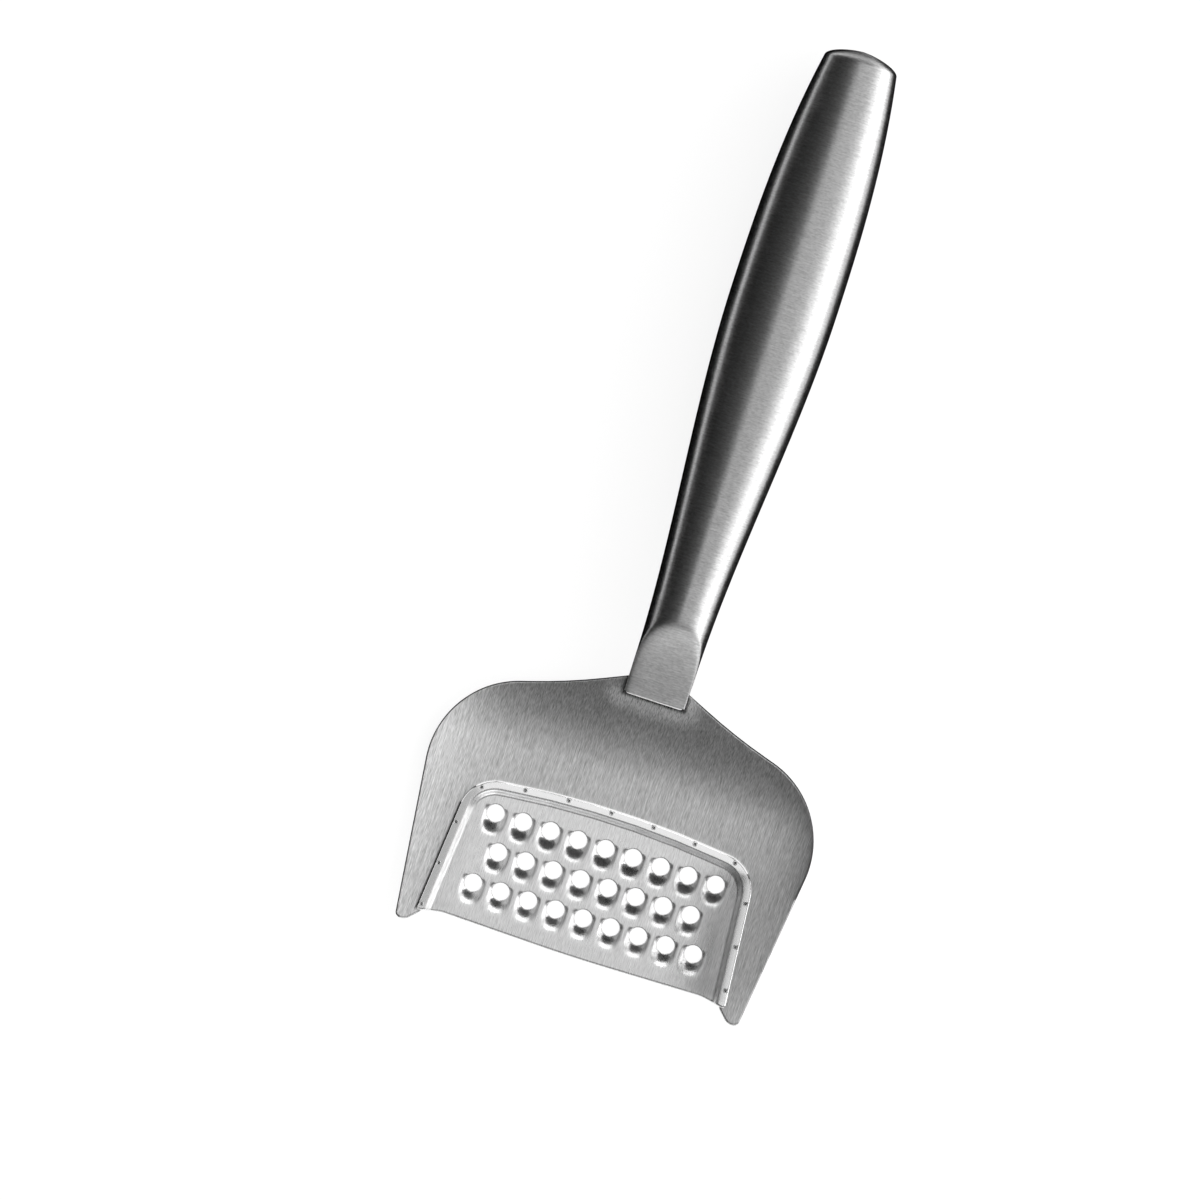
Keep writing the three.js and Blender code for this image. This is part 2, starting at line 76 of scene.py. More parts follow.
# Grating plate
PLATE_THICKNESS = 0.6
PLATE_EDGE = 0.5
PLATE_UNDER_EDGE = 0.08
PLATE_SIDE_MARGIN = 8.95
PLATE_TAPER = 4.9 * DEGREE
PLATE_CORNER_RADIUS = 9.6
PLATE_REAR_SETBACK = 42.1
PLATE_REAR_SLOPE = 6.7 * DEGREE
PLATE_REAR_RADIUS = 235
PLATE_FRONT_SETBACK = 3.7
PLATE_FRONT_RADIUS = 400
FRONT_HOLLOW_WIDTH = 68
FRONT_HOLLOW_SETBACK = 4.45
FRONT_HOLLOW_RADIUS = 10
FLANGE_FRONT_SETBACK = 3.2
FLANGE_FRONT_RADIUS = 0.8
FLANGE_WIDTH = 2.05
STEP_RUN = 1.7

# Grating teeth
ROW_COUNT = 3
LONG_ROW_HOLES = 9
ROW_PITCH = 9.1
HOLE_PITCH = 7.2
HOLE_DIAMETER = 4.3
HOLE_EDGE = 0.26
FRONT_ROW_SETBACK = 13.9
HOOD_DEPTH = 1.6
HOOD_WIDTH = 6.4
HOOD_WALL = 2.5
HOOD_REACH = 4.1
HOOD_PLUNGE = 2
HOOD_TIP_SHARE = 0.9
HOOD_FADE = 1.6

# Spot welds
SPOT_COUNT = 13
SPOT_DIAMETER = 0.9
SPOT_DISH_DIAMETER = 0.85
SPOT_DISH_DEPTH = 0.26
SPOT_DARKENING = 1.2
SPOT_POCKET = 0.25
SPOT_POCKET_RUN = 0.15
SPOT_LEFT_MARGIN = 1.8
SPOT_RIGHT_MARGIN = 4.6

# Neck
TANG_SETBACK = 70.7
TANG_END_THICKNESS = 2.8
TANG_END_CHAMFER = 0.35
TANG_CORNER_RADIUS = 0.5
FACET_SETBACK = 90.2
FACET_ARC_END = 0.95
NECK_WIDTH = 15.9
NECK_HEIGHT = 15
UNDER_SCOOP_LENGTH = 6
UNDER_SCOOP_DEPTH = NECK_HEIGHT / 2
NECK_AXIS_HEIGHT = 3.3
NECK_EDGE_POWER = 9
APEX_EDGE_POWER = 12
APEX_RUN = 6
KNEE_RADIUS = 80
SEAM_MARGIN = 12
SPIGOT_LENGTH = 8

# Handle
SWELL_SETBACK = 79.5
BELLY_SETBACK = 175.4
BELLY_WIDTH = 27.2
BELLY_HEIGHT = 21.2
END_WIDTH = 17.5
END_HEIGHT = 12
END_CURVE = 2.6
END_CAP_DEPTH = 3.4
END_CAP_CURVE = 0.66
HANDLE_WALL = 1

# Clearances
SEAT_GAP = 0.05
CUTOUT_GAP = 0.3
TAB_GAP = 0.3
SPIGOT_GAP = 0.2

# Finish: a painted shadow along the foot of the tang with a painted light halo round it, polish of the
# flange, and the steel's own texture
SEAM_SHADOW_REACH = 1.1
DARKENING_SHADE = 0.75
HALO_REACH = 6
HALO_GAIN = 0.6
HALO_MATT = 0.8
POLISHED_ROUGHNESS = 0.16
POLISHED_SHADE = 0.06
POLISH_FADE_START = 0.3
POLISH_FADE_RUN = 0.4
GRAIN_SCALE = 100
GRAIN_LEAN = (0.37, 0.23)
LONG_DETAIL = 2.0
SHORT_DETAIL = 1.0
CLOUD_DETAIL = 3.0
CLOUD_SIZE = 18
CLOUD_SHADE = 0.02
CLOUD_GLOSS = 0.02
STREAK_GLOSS = 0.03
STREAK_DEPTH = 0.02
NOISE_LOW = 0.3
NOISE_HIGH = 0.7
NOISE_ROUGHNESS = 0.6

# Fineness of the meshes
MERGE_DISTANCE = 1e-4
SLIVER_DISTANCE = 1e-5
SHARP_ANGLE = 38 * DEGREE
ARC_STEP = 3 * DEGREE
ARC_LEAST_STEPS = 4
ROUNDING_POINTS = 7
EDGE_SPACING = 0.6
GRID_SPACING = 0.29
RIM_SPACING = 0.4
RIM_SUPPORT = 0.06
HOLE_SHARE = 0.98
REACH = 30

# Points on the blade: rows over the bend, and loops round the foot of the tang
BEND_LEAD = 1
BEND_ROW_SPACING = 0.7
BEND_POINT_SPACING = 4
BEND_MARGIN = 0.3
FOOT_START = 0.1
FOOT_NEAR_SPACING = 0.2
FOOT_FAR_SPACING = 0.5
FOOT_POINT_SPACING = 0.4
FOOT_MARGIN = 0.2

# Points on the plate: rows along the step, and rings round the spot welds at shares of their pockets' run
STEP_LEAD = 0.2
STEP_TRAIL = 0.25
STEP_ROW_SPACING = 0.14
STEP_MARGIN = 0.15
SPOT_RING_SHARES = (-2, -0.4, 0, 0.25, 0.5, 0.75, 1, 1.4)
SPOT_RING_SIDES = 24
SPOT_MARGIN = 0.1
HOLE_SIDES = 64
HOLE_MARGIN = 0.16
PLATE_MARGIN = 0.14

# Nuggets of the spot welds
NUGGET_SIDES = 32
NUGGET_RINGS = 9
NUGGET_CORE_SHARE = 0.04
NUGGET_RIM_SHARE = 0.8
NUGGET_EDGE = 0.04
NUGGET_EDGE_DROP = 0.02
NUGGET_SINK = 0.01

# Sections of the neck and stations of the grip, along it and on its rounded end
NECK_SIDES = 400
TANG_CORNER_SECTIONS = 8
TANG_SECTIONS = 90
NECK_SECTIONS = 130
SHELL_POINTS = 97
SHELL_EDGE_TURN = 0.3 * DEGREE
OUTER_STATIONS = 150
OUTER_CAP_STATIONS = 40
INNER_STATIONS = 40
INNER_CAP_STATIONS = 12
CAP_END_TURN = 89.5 * DEGREE

# Camera: straight above, turned about the vertical, far enough that near and far parts keep one scale
CAMERA_TURN = 18 * DEGREE
CAMERA_OVER = (-20.5, -29.4)
CAMERA_HEIGHT = 2000
CAMERA_FAR = 20000
VIEW_LEVEL = 7
VIEW_WIDTH = 298.1
SENSOR_WIDTH = 36

# Studio: levels of the surroundings from left to right and from front to rear, and the floor
WORLD_SIDES = [
    (0.0, 0.02), (0.14, 0.03), (0.25, 0.12), (0.39, 0.16), (0.455, 0.20), (0.517, 0.25), (0.567, 0.27),
    (0.667, 0.27), (0.722, 0.36), (0.778, 0.58), (0.84, 0.87), (0.89, 1.0), (1.0, 0.95),
]
WORLD_ENDS = [
    (0.0, 0.65), (0.067, 0.65), (0.146, 0.5), (0.23, 0.2), (0.31, 0.19), (0.37, 0.2), (0.43, 0.4),
    (0.475, 0.85), (0.51, 1.0), (0.54, 1.0), (0.605, 0.8), (0.69, 0.6), (0.765, 0.8), (0.835, 0.9),
    (0.88, 0.5), (0.92, 0.15), (1.0, 0.05),
]
WORLD_STRENGTH = 3.4
WHITE = (1, 1, 1, 1)
FLOOR_REACH = 4000
FLOOR_LEVEL = -0.2
FLOOR_SHADE = 0.35
FLOOR_GLOW = 0.86

# Flags, which only the metal's reflections show: levels of light at their start and end, a corner, and the
# two sides from it. A flag is seen from where the turn from its first side to its second, along which the
# level changes, is counter-clockwise.
BLACK = 0.003
FLAGS = {
    "flag_floor_left": (BLACK, BLACK, (-100, -60, 0), (95, 0, 0), (0, 210, 0)),
    "flag_floor_edge": (BLACK, BLACK, (-130, -125, 0), (83, 0, 0), (0, 65, 0)),
    "flag_floor_right": (BLACK, BLACK, (5, -60, 0), (49, 0, 0), (0, 210, 0)),
    "flag_floor_end": (BLACK, BLACK, (-5, 121, 0), (10, 0, 0), (0, 29, 0)),
    "flag_blade_right": (BLACK, BLACK, (55, -112, 22), (-13, 52, 0), (24.5, 0, 0)),
    "flag_blade_left": (1.4, 1.25, (-68, -150, 22), (0, 86, 0), (22, 0, 0)),
    "flag_plate_left": (0.55, 0.55, (-42.5, -117, 30), (2.6, 33, 0), (6, 0, 0)),
    "flag_holes_left": (0.7, 0.0, (-38.6, -119, 3.6), (3.3, 39, 0), (0, 0, 16.5)),
    "flag_plate_right": (0.08, 0.08, (31, -117, 30), (-2.6, 33, 0), (8.1, 0, 0)),
    "flag_plate_rear": (2.6, 2.6, (-45, -30, 110), (90, 0, 0), (0, 0, 210)),
    "flag_plate_low": (BLACK, BLACK, (-45, -80, 3.6), (90, 0, 0), (0, 25, 74)),
    "flag_handle_left": (0.0, 0.16, (-32, -60, 17), (0, 300, 0), (19, 0, 103)),
    "flag_handle_top": (0.16, 0.5, (-13, -60, 120), (0, 300, 0), (4.5, 0, 50)),
    "flag_overhead": (1.26, 1.26, (-130, -260, 1500), (0, 220, 0), (300, 0, 0)),
}

# Narrow upright flags beside an edge of a sheet: level of light, distance from the edge, and height
# above the blade. Their feet reach below its upper face.
BLADE_FLAG = (BLACK, 0.6, 1.2)
BLADE_RIGHT_FLAG_SETBACK = 34
FLANGE_LEFT_FLAG = (BLACK, 0.24, 1.5)
FLANGE_REAR_FLAG = (1.3, 0.3, 1.5)
FLAG_FOOT = 0.6
FLAG_NECK_GAP = 1

# Small lamp that picks out the front edge of the tang: its middle, width, depth, tilt and level of light,
# and the power over its area that gives a level of 1
TANG_LIGHT_AT = (0, -56.5, 10.5)
TANG_LIGHT_WIDTH = 17
TANG_LIGHT_DEPTH = 13
TANG_LIGHT_TILT = 147.5 * DEGREE
TANG_LIGHT_LEVEL = 0.8
POWER_PER_LEVEL = 4

# Lengths worked out from the sizes above
SEAT_LEVEL = BLADE_THICKNESS + SEAT_GAP
FLANGE_LEVEL = SEAT_LEVEL + PLATE_THICKNESS
PLATE_FRONT_WIDTH = BLADE_WIDTH - 2 * PLATE_SIDE_MARGIN
PLATE_SIDE_HEADING = math.pi / 2 + PLATE_TAPER
AXIS_LEVEL = BELLY_HEIGHT / 2 - HOOD_DEPTH
NECK_AXIS_ABOVE = SEAT_LEVEL + NECK_AXIS_HEIGHT

# From the source's origin, at the blade's tips and underside, to that of the shared frame
SHIFT = (0, -TOOL_LENGTH / 2, HOOD_DEPTH)


# Plane geometry

def meet(point_a, heading_a, point_b, heading_b):
    """Where two lines meet, each given by a point and a heading."""
    turn = math.sin(heading_b - heading_a)
    across = (point_b[0] - point_a[0]) * math.sin(heading_b)
    upward = (point_b[1] - point_a[1]) * math.cos(heading_b)
    along = (across - upward) / turn
    return (point_a[0] + along * math.cos(heading_a), point_a[1] + along * math.sin(heading_a))


def rounded_path(corners, closed=True):
    """Points of a path given by its corners, each (x, y, radius). The ends of an open path stay sharp."""
    count = len(corners)
    spots = [np.array(corner[:2], float) for corner in corners]
    legs = [spots[(i + 1) % count] - spots[i] for i in range(count)]
    headings = [math.atan2(leg[1], leg[0]) for leg in legs]
    turns = []
    tangents = []
    for i in range(count):
        change = headings[i] - headings[i - 1]
        turn = math.atan2(math.sin(change), math.cos(change))
        is_end = not closed and i in (0, count - 1)
        turns.append(turn)
        tangents.append(0 if is_end else corners[i][2] * math.tan(abs(turn) / 2))
    for i in range(count):
        both = tangents[i] + tangents[(i + 1) % count]
        share = np.linalg.norm(legs[i]) / max(both, TINY)
        if share < 1:
            tangents[i] *= share
            tangents[(i + 1) % count] *= share
    points = []
    for i in range(count):
        if tangents[i] < TINY:
            points.append(spots[i])
            continue
        arrival = headings[i - 1]
        radius = math.copysign(tangents[i] / math.tan(abs(turns[i]) / 2), turns[i])
        start = spots[i] - tangents[i] * np.array([math.cos(arrival), math.sin(arrival)])
        steps = max(ARC_LEAST_STEPS, math.ceil(abs(turns[i]) / ARC_STEP))
        for step in range(steps + 1):
            now = arrival + turns[i] * step / steps
            bow = (math.sin(now) - math.sin(arrival), math.cos(arrival) - math.cos(now))
            points.append(start + radius * np.array(bow))
    return np.array(points)


def mirrored(corners):
    """The corners of a left half, mirrored from those of a right half and run the other way."""
    return [(-x, y, radius) for x, y, radius in reversed(corners)]


def spaced_along(points, spacing, closed=True):
    """A path's points again, with each long leg divided evenly."""
    ends = np.roll(points, -1, axis=0) if closed else points[1:]
    starts = points if closed else points[:-1]
    found = []
    for start, end in zip(starts, ends):
        length = np.linalg.norm(end - start)
        if length < TINY:
            continue
        steps = max(1, math.ceil(length / spacing))
        found.extend(start + (end - start) * step / steps for step in range(steps))
    if not closed:
        found.append(points[-1])
    return np.array(found)


def moved_inward(loop, inset):
    """A closed loop, run counter-clockwise, with each point moved inward."""
    before = loop - np.roll(loop, 1, axis=0)
    after = np.roll(loop, -1, axis=0) - loop
    before /= np.linalg.norm(before, axis=1)[:, None]
    after /= np.linalg.norm(after, axis=1)[:, None]
    along = before + after
    inward = np.stack([-along[:, 1], along[:, 0]], axis=1)
    square = np.stack([-after[:, 1], after[:, 0]], axis=1)
    return loop + inset * inward / np.sum(inward * square, axis=1)[:, None]


def distance_to(points, path):
    """Distance of each point from an open path."""
    nearest = np.full(len(points), np.inf)
    for start, end in zip(path[:-1], path[1:]):
        leg = end - start
        share = np.clip((points - start) @ leg / (leg @ leg), 0, 1)
        nearest = np.minimum(nearest, np.linalg.norm(points - start - share[:, None] * leg, axis=1))
    return nearest


def inside_loop(points, loop):
    """Whether each point is inside a closed loop, by counting the legs it has to its right."""
    inside = np.zeros(len(points), bool)
    x, y = points.T
    for start, end in zip(loop, np.roll(loop, -1, axis=0)):
        if start[1] == end[1]:
            continue
        spans = (start[1] > y) != (end[1] > y)
        crossing = start[0] + (y - start[1]) * (end[0] - start[0]) / (end[1] - start[1])
        inside ^= spans & (x < crossing)
    return inside


def well_inside(points, loop, margin):
    """Those of the points that are inside a closed loop and further from it than a margin."""
    clear = distance_to(points, np.vstack([loop, loop[:1]])) > margin
    return points[clear & inside_loop(points, loop)]


def grid_points(across, along):
    return np.stack(np.meshgrid(across, along), axis=-1).reshape(-1, 2)


def circle(count):
    """Points round a circle of radius 1."""
    turns = np.linspace(0, 2 * math.pi, count, endpoint=False)
    return np.column_stack([np.cos(turns), np.sin(turns)])


def smooth_rise(share):
    """Goes from 0 to 1 with level ends."""
    held = np.clip(share, 0, 1)
    return held * held * (3 - 2 * held)


# Meshes

def linked(name, data):
    """A new object in the scene."""
    made = bpy.data.objects.new(name, data)
    bpy.context.scene.collection.objects.link(made)
    return made


def placed(points):
    """Points of the tool in metres in the shared frame."""
    return (np.asarray(points, float) + SHIFT) * MM


def piece(name, points, faces, grain, material, nodes, finishes=None):
    """A closed mesh as a piece that stands for CAD nodes. The grain is each point's place in the brushing,
    and each finish is a rule for an attribute that the material reads."""
    mesh = bpy.data.meshes.new(name)
    mesh.from_pydata(placed(points).tolist(), [], faces)
    places = mesh.attributes.new("place", "FLOAT_VECTOR", "POINT")
    spread = np.column_stack([grain, np.zeros(len(grain))])
    places.data.foreach_set("vector", spread.astype(np.float32).ravel())
    work = bmesh.new()
    work.from_mesh(mesh)
    bmesh.ops.remove_doubles(work, verts=work.verts, dist=MERGE_DISTANCE * MM)
    bmesh.ops.dissolve_degenerate(work, edges=work.edges, dist=SLIVER_DISTANCE * MM)
    bmesh.ops.recalc_face_normals(work, faces=work.faces)
    work.to_mesh(mesh)
    work.free()
    corners = np.zeros(len(mesh.loops), int)
    mesh.loops.foreach_get("vertex_index", corners)
    kept = np.zeros(3 * len(mesh.vertices), np.float32)
    mesh.attributes["place"].data.foreach_get("vector", kept)
    mesh.attributes.remove(mesh.attributes["place"])
    layer = mesh.uv_layers.new(name="grain")
    layer.data.foreach_set("uv", kept.reshape(-1, 3)[corners, :2].ravel())
    spots = np.array([vertex.co for vertex in mesh.vertices]) / MM - SHIFT
    for key, rule in (finishes or {}).items():
        values = mesh.attributes.new(key, "FLOAT", "POINT")
        values.data.foreach_set("value", rule(spots).astype(np.float32))
    mesh.polygons.foreach_set("use_smooth", np.ones(len(mesh.polygons), bool))
    mesh.set_sharp_from_angle(angle=SHARP_ANGLE)
    mesh.materials.append(material)
    made = linked(name, mesh)
    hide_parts(*nodes)
    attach(made, "root")


def flat_grain(points):
    """Brushing along the tool on a sheet: the first direction is across it. Height shifts the places, so
    that upright faces have a direction too."""
    return (points[:, :2] + np.outer(points[:, 2], GRAIN_LEAN)) / GRAIN_SCALE


def ring_grain(points, count):
    """Brushing round a piece made of rings: the first direction is along it."""
    turn = np.arange(len(points)) % count / count
    return np.stack([points[:, 1] / GRAIN_SCALE, turn], axis=1)


def strips(first, count, rows, closed):
    """Quads between rows of points that follow each other in a list, starting at an index."""
    last = count if closed else count - 1
    faces = []
    for row in range(rows - 1):
        for i in range(last):
            a = first + row * count + i
            b = first + row * count + (i + 1) % count
            faces.append((a, b, b + count, a + count))
    return faces


def capped_tube(count, rows):
    """Faces of a tube of closed rings, with a face over each end."""
    last = count * (rows - 1)
    return strips(0, count, rows, True) + [tuple(range(count))[::-1], tuple(range(last, last + count))]


def filled(loops, inside):
    """Triangles over the plane inside the first loop and outside the others, with points inside."""
    points = [tuple(point) for loop in loops for point in loop] + [tuple(point) for point in inside]
    edges = []
    first = 0
    for loop in loops:
        count = len(loop)
        edges.extend((first + i, first + (i + 1) % count) for i in range(count))
        first += count
    flat, _, faces, _, _, _ = delaunay_2d_cdt(points, edges, [], 1, TINY)
    flat = np.array([tuple(point) for point in flat])
    triangles = np.array(faces)
    middles = flat[triangles].mean(axis=1)
    keep = np.ones(len(triangles), bool)
    for hole in loops[1:]:
        reach = np.linalg.norm(hole - hole.mean(axis=0), axis=1).min()
        keep &= np.linalg.norm(middles - hole.mean(axis=0), axis=1) > reach * HOLE_SHARE
    return flat, triangles[keep]


def sheet_mesh(outline, holes, inside, level, thickness, edges, hole_edge):
    """Points and faces of a sheet with rounded edges, whose outer ones are given above and below.
    level(points, share) gives the height of plan points at a share of the thickness above the underside."""
    loops = [(outline, *edges)] + [(hole[::-1], hole_edge, hole_edge) for hole in holes]
    rims = [moved_inward(loop, inset) for loop, inset, _ in loops]
    caps = [rim[::-1] if i else rim for i, rim in enumerate(rims)]
    support = [moved_inward(loop, inset + RIM_SUPPORT) for loop, inset, _ in loops]
    flat, triangles = filled(caps, np.concatenate(support + [inside]))
    points = []
    faces = []
    for share, order in ((1, 1), (0, -1)):
        first = sum(len(part) for part in points)
        points.append(np.column_stack([flat, level(flat, share)]))
        faces.extend(tuple(first + corner for corner in triangle[::order]) for triangle in triangles.tolist())
    turns = np.linspace(0, math.pi / 2, ROUNDING_POINTS)
    for loop, inset, under in loops:
        profile = [(inset * (1 - math.sin(t)), 1 - inset * (1 - math.cos(t)) / thickness) for t in turns]
        profile += [(inset * (1 - math.sin(t)), under * (1 - math.cos(t)) / thickness) for t in turns[::-1]]
        first = sum(len(part) for part in points)
        for back, share in profile:
            ring = moved_inward(loop, back)
            points.append(np.column_stack([ring, level(ring, share)]))
        faces.extend(strips(first, len(loop), len(profile), True))
    return np.concatenate(points), faces


# Blade

def sheet_level(y, above):
    """Height of a line beside the bent sheet, a given distance above its underside."""
    radius = BEND_RADIUS - above
    bend_end = BEND_SETBACK + radius * math.sin(BEND_ANGLE)
    on_bend = np.clip(y, BEND_SETBACK, bend_end) - BEND_SETBACK
    past = np.maximum(y - bend_end, 0)
    return BEND_RADIUS - np.sqrt(radius ** 2 - on_bend ** 2) + past * math.tan(BEND_ANGLE)


def blade_outline():
    centre = (BLADE_WIDTH / 2 - SHOULDER_RADIUS, SHOULDER_SETBACK)

    def on_shoulder(angle):
        return (
            centre[0] + SHOULDER_RADIUS * math.cos(angle),
            centre[1] + SHOULDER_RADIUS * math.sin(angle),
        )

    side_point = on_shoulder(-SIDE_TAPER)
    side_heading = math.pi / 2 - SIDE_TAPER
    rear_point = on_shoulder(math.pi / 2 - SHOULDER_SLOPE)
    rear_heading = math.pi - SHOULDER_SLOPE
    neck_point = (NECK_WIDTH / 2, REAR_EDGE_SETBACK)
    neck_heading = math.pi - NECK_SLOPE
    tip = meet(side_point, side_heading, (0, 0), 0)
    shoulder = meet(side_point, side_heading, rear_point, rear_heading)
    rear_hollow = meet(rear_point, rear_heading, neck_point, neck_heading)
    neck_corner = meet(neck_point, neck_heading, (TAB_WIDTH / 2, 0), math.pi / 2)
    outer = [
        (*tip, PRONG_OUTER_RADIUS),
        (*shoulder, SHOULDER_RADIUS),
        (*rear_hollow, REAR_EDGE_RADIUS),
        (*neck_corner, NECK_CORNER_RADIUS),
        (TAB_WIDTH / 2, TAB_SETBACK, TAB_CORNER_RADIUS),
    ]
    cut_corner, cut_centre = plate_side_corners(FLANGE_WIDTH - CUTOUT_GAP)
    chamfer_top = meet(cut_corner, PLATE_SIDE_HEADING, (0, PRONG_CHAMFER), 0)
    nose = min(chamfer_top[0] + PRONG_CHAMFER, tip[0] - PRONG_OUTER_RADIUS)
    inner = [cut_corner, (*chamfer_top, PRONG_INNER_RADIUS), (nose, 0, PRONG_INNER_RADIUS)]
    return rounded_path(outer + mirrored(outer) + mirrored(inner) + [cut_centre] + inner)


def blade_level(plan, share):
    return sheet_level(plan[:, 1], share * BLADE_THICKNESS)


def bend_points(outline):
    """Rows of points over the bend and the slope behind it, so that the sheet curves smoothly."""
    rows = np.arange(BEND_SETBACK - BEND_LEAD, TAB_SETBACK, BEND_ROW_SPACING)
    across = np.arange(-BLADE_WIDTH / 2, BLADE_WIDTH / 2, BEND_POINT_SPACING)
    return well_inside(grid_points(across, rows), outline, BLADE_EDGE + BEND_MARGIN)


def seam_distance(spots):
    """Distance in plan from the foot of the tang."""
    across = np.maximum(np.abs(spots[:, 0]) - NECK_WIDTH / 2, 0)
    along = np.maximum(TANG_SETBACK - spots[:, 1], 0)
    return np.hypot(across, along)


def seam_points(outline):
    """Points round the foot of the tang, close enough for the painted shadow along its seam and the painted
    light halo round it to fade smoothly.
    """
    found = []
    near = np.arange(FOOT_START, SEAM_SHADOW_REACH, FOOT_NEAR_SPACING)
    far = np.arange(SEAM_SHADOW_REACH, HALO_REACH, FOOT_FAR_SPACING)
    for away in np.concatenate([near, far]):
        side = NECK_WIDTH / 2 + away
        front = TANG_SETBACK - away
        loop = [(side, TAB_SETBACK, 0), (side, front, away), (-side, front, away), (-side, TAB_SETBACK, 0)]
        found.append(spaced_along(rounded_path(loop, closed=False), FOOT_POINT_SPACING, False))
    return well_inside(np.concatenate(found), outline, BLADE_EDGE + FOOT_MARGIN)


def on_top(spots):
    return spots[:, 2] > sheet_level(spots[:, 1], BLADE_THICKNESS / 2)


def seam_painted_halo(spots):
    """Strength of the painted light halo on the upper face round the tang, just beyond its painted shadow."""
    away = seam_distance(spots)
    fade = (away - SEAM_SHADOW_REACH) / (HALO_REACH - SEAM_SHADOW_REACH)
    return smooth_rise(away / SEAM_SHADOW_REACH) * (1 - smooth_rise(fade)) * on_top(spots)


def seam_shadow_and_halo(spots):
    """Painted shadow on the upper face along the tang's seam, and below 0 in the painted light halo round it.
    """
    dark = 1 - smooth_rise(seam_distance(spots) / SEAM_SHADOW_REACH)
    return dark * on_top(spots) - HALO_GAIN * seam_painted_halo(spots)


def seam_polish(spots):
    """Polish, which is below 0 in the painted light halo round the tang, so that the face there is more matt
    and, through the polish's shade, a little lighter.
    """
    return -HALO_MATT * seam_painted_halo(spots)


def make_blade(material):
    outline = spaced_along(blade_outline(), EDGE_SPACING)
    seam = seam_points(outline)
    bend = bend_points(outline)
    inside = np.concatenate([bend[seam_distance(bend) > HALO_REACH], seam])
    edges = (BLADE_EDGE, BLADE_EDGE)
    points, faces = sheet_mesh(outline, [], inside, blade_level, BLADE_THICKNESS, edges, 0)
    # The darkening paints a shadow along the foot of the tang and a lighter halo round it.
    finishes = {"darkening": seam_shadow_and_halo, "polish": seam_polish}
    piece("blade_sheet", points, faces, flat_grain(points), material, ["blade"], finishes)


# Grating plate

def plate_side_corners(inset):
    """Rear corner and rear midpoint of the plate's edge, moved inward by an inset."""
    rear_heading = math.pi - PLATE_REAR_SLOPE
    side_point = (PLATE_FRONT_WIDTH / 2 - inset / math.cos(PLATE_TAPER), 0)
    rear_radius = PLATE_REAR_RADIUS - inset
    rear_top = PLATE_REAR_SETBACK - inset + rear_radius * (1 / math.cos(PLATE_REAR_SLOPE) - 1)
    corner = meet(side_point, PLATE_SIDE_HEADING, (0, rear_top), rear_heading)
    return (*corner, max(PLATE_CORNER_RADIUS - inset, 0)), (0, rear_top, rear_radius)


def tray_path(inset, front):
    """The edge of the pressed tray at an inset, from its right front end round to its left one."""
    corner, rear = plate_side_corners(inset)
    end = (*meet(corner, PLATE_SIDE_HEADING, (0, front), 0), 0)
    return rounded_path([end, corner, rear] + mirrored([end, corner]), closed=False)


def plate_outline():
    corner, rear = plate_side_corners(0)
    flange_front = meet(corner, PLATE_SIDE_HEADING, (0, FLANGE_FRONT_SETBACK), 0)
    right = [
        (FRONT_HOLLOW_WIDTH / 2, FRONT_HOLLOW_SETBACK, FRONT_HOLLOW_RADIUS),
        (*flange_front, FLANGE_FRONT_RADIUS),
        corner,
    ]
    front = (0, PLATE_FRONT_SETBACK, PLATE_FRONT_RADIUS)
    return rounded_path([front] + right + [rear] + mirrored(right))


def hole_places():
    """Middle of each hole, from the front row to the rear. Every second row has one hole less."""
    places = []
    for row in range(ROW_COUNT):
        count = LONG_ROW_HOLES - row % 2
        for hole in range(count):
            places.append(((hole - (count - 1) / 2) * HOLE_PITCH, FRONT_ROW_SETBACK + row * ROW_PITCH))
    return np.array(places)


def spot_places():
    """Evenly spaced along the middle of the flange, from its right front end round to its left one."""
    corner, rear = plate_side_corners(FLANGE_WIDTH / 2)
    ends = []
    for margin in (SPOT_RIGHT_MARGIN, SPOT_LEFT_MARGIN):
        ends.append((*meet(corner, PLATE_SIDE_HEADING, (0, FLANGE_FRONT_SETBACK + margin), 0), 0))
    path = rounded_path([ends[0], corner, rear] + mirrored([ends[1], corner]), closed=False)
    lengths = np.concatenate([[0], np.cumsum(np.linalg.norm(np.diff(path, axis=0), axis=1))])
    wanted = np.linspace(0, lengths[-1], SPOT_COUNT)
    return np.column_stack([np.interp(wanted, lengths, path[:, axis]) for axis in (0, 1)])


def hood_depth(plan):
    """Depth of the spoon-shaped hollows. Each plunges towards its hole and fades out beside it."""
    radius = HOLE_DIAMETER / 2
    full_reach = HOOD_REACH + radius
    peak = HOOD_DEPTH / (HOOD_REACH / full_reach) ** HOOD_PLUNGE
    depth = np.zeros(len(plan))
    for place in hole_places():
        across, along = (plan - place).T
        share = np.clip(1 + along / full_reach, 0, 1)
        behind = np.clip(along / HOOD_FADE, 0, 1)
        narrow = HOOD_TIP_SHARE + (1 - HOOD_TIP_SHARE) * smooth_rise(share * full_reach / HOOD_REACH)
        lateral = np.clip(np.abs(across) / (HOOD_WIDTH / 2 * narrow), 0, 1)
        trough = (1 - lateral ** HOOD_WALL) ** 2
        plunge = np.minimum(peak * share ** HOOD_PLUNGE, HOOD_DEPTH)
        depth += plunge * trough * (1 - smooth_rise(behind))
    return depth


def plate_level(plan, share):
    edge = tray_path(0, -REACH)
    inset = distance_to(plan, edge)
    step = smooth_rise((inset - FLANGE_WIDTH) / STEP_RUN)
    top = FLANGE_LEVEL - SEAT_LEVEL * step - hood_depth(plan)
    for place in spot_places():
        away = np.linalg.norm(plan - place, axis=1) - SPOT_DIAMETER / 2
        top = top - SPOT_POCKET * (1 - smooth_rise(away / SPOT_POCKET_RUN))
    return top - (1 - share) * PLATE_THICKNESS


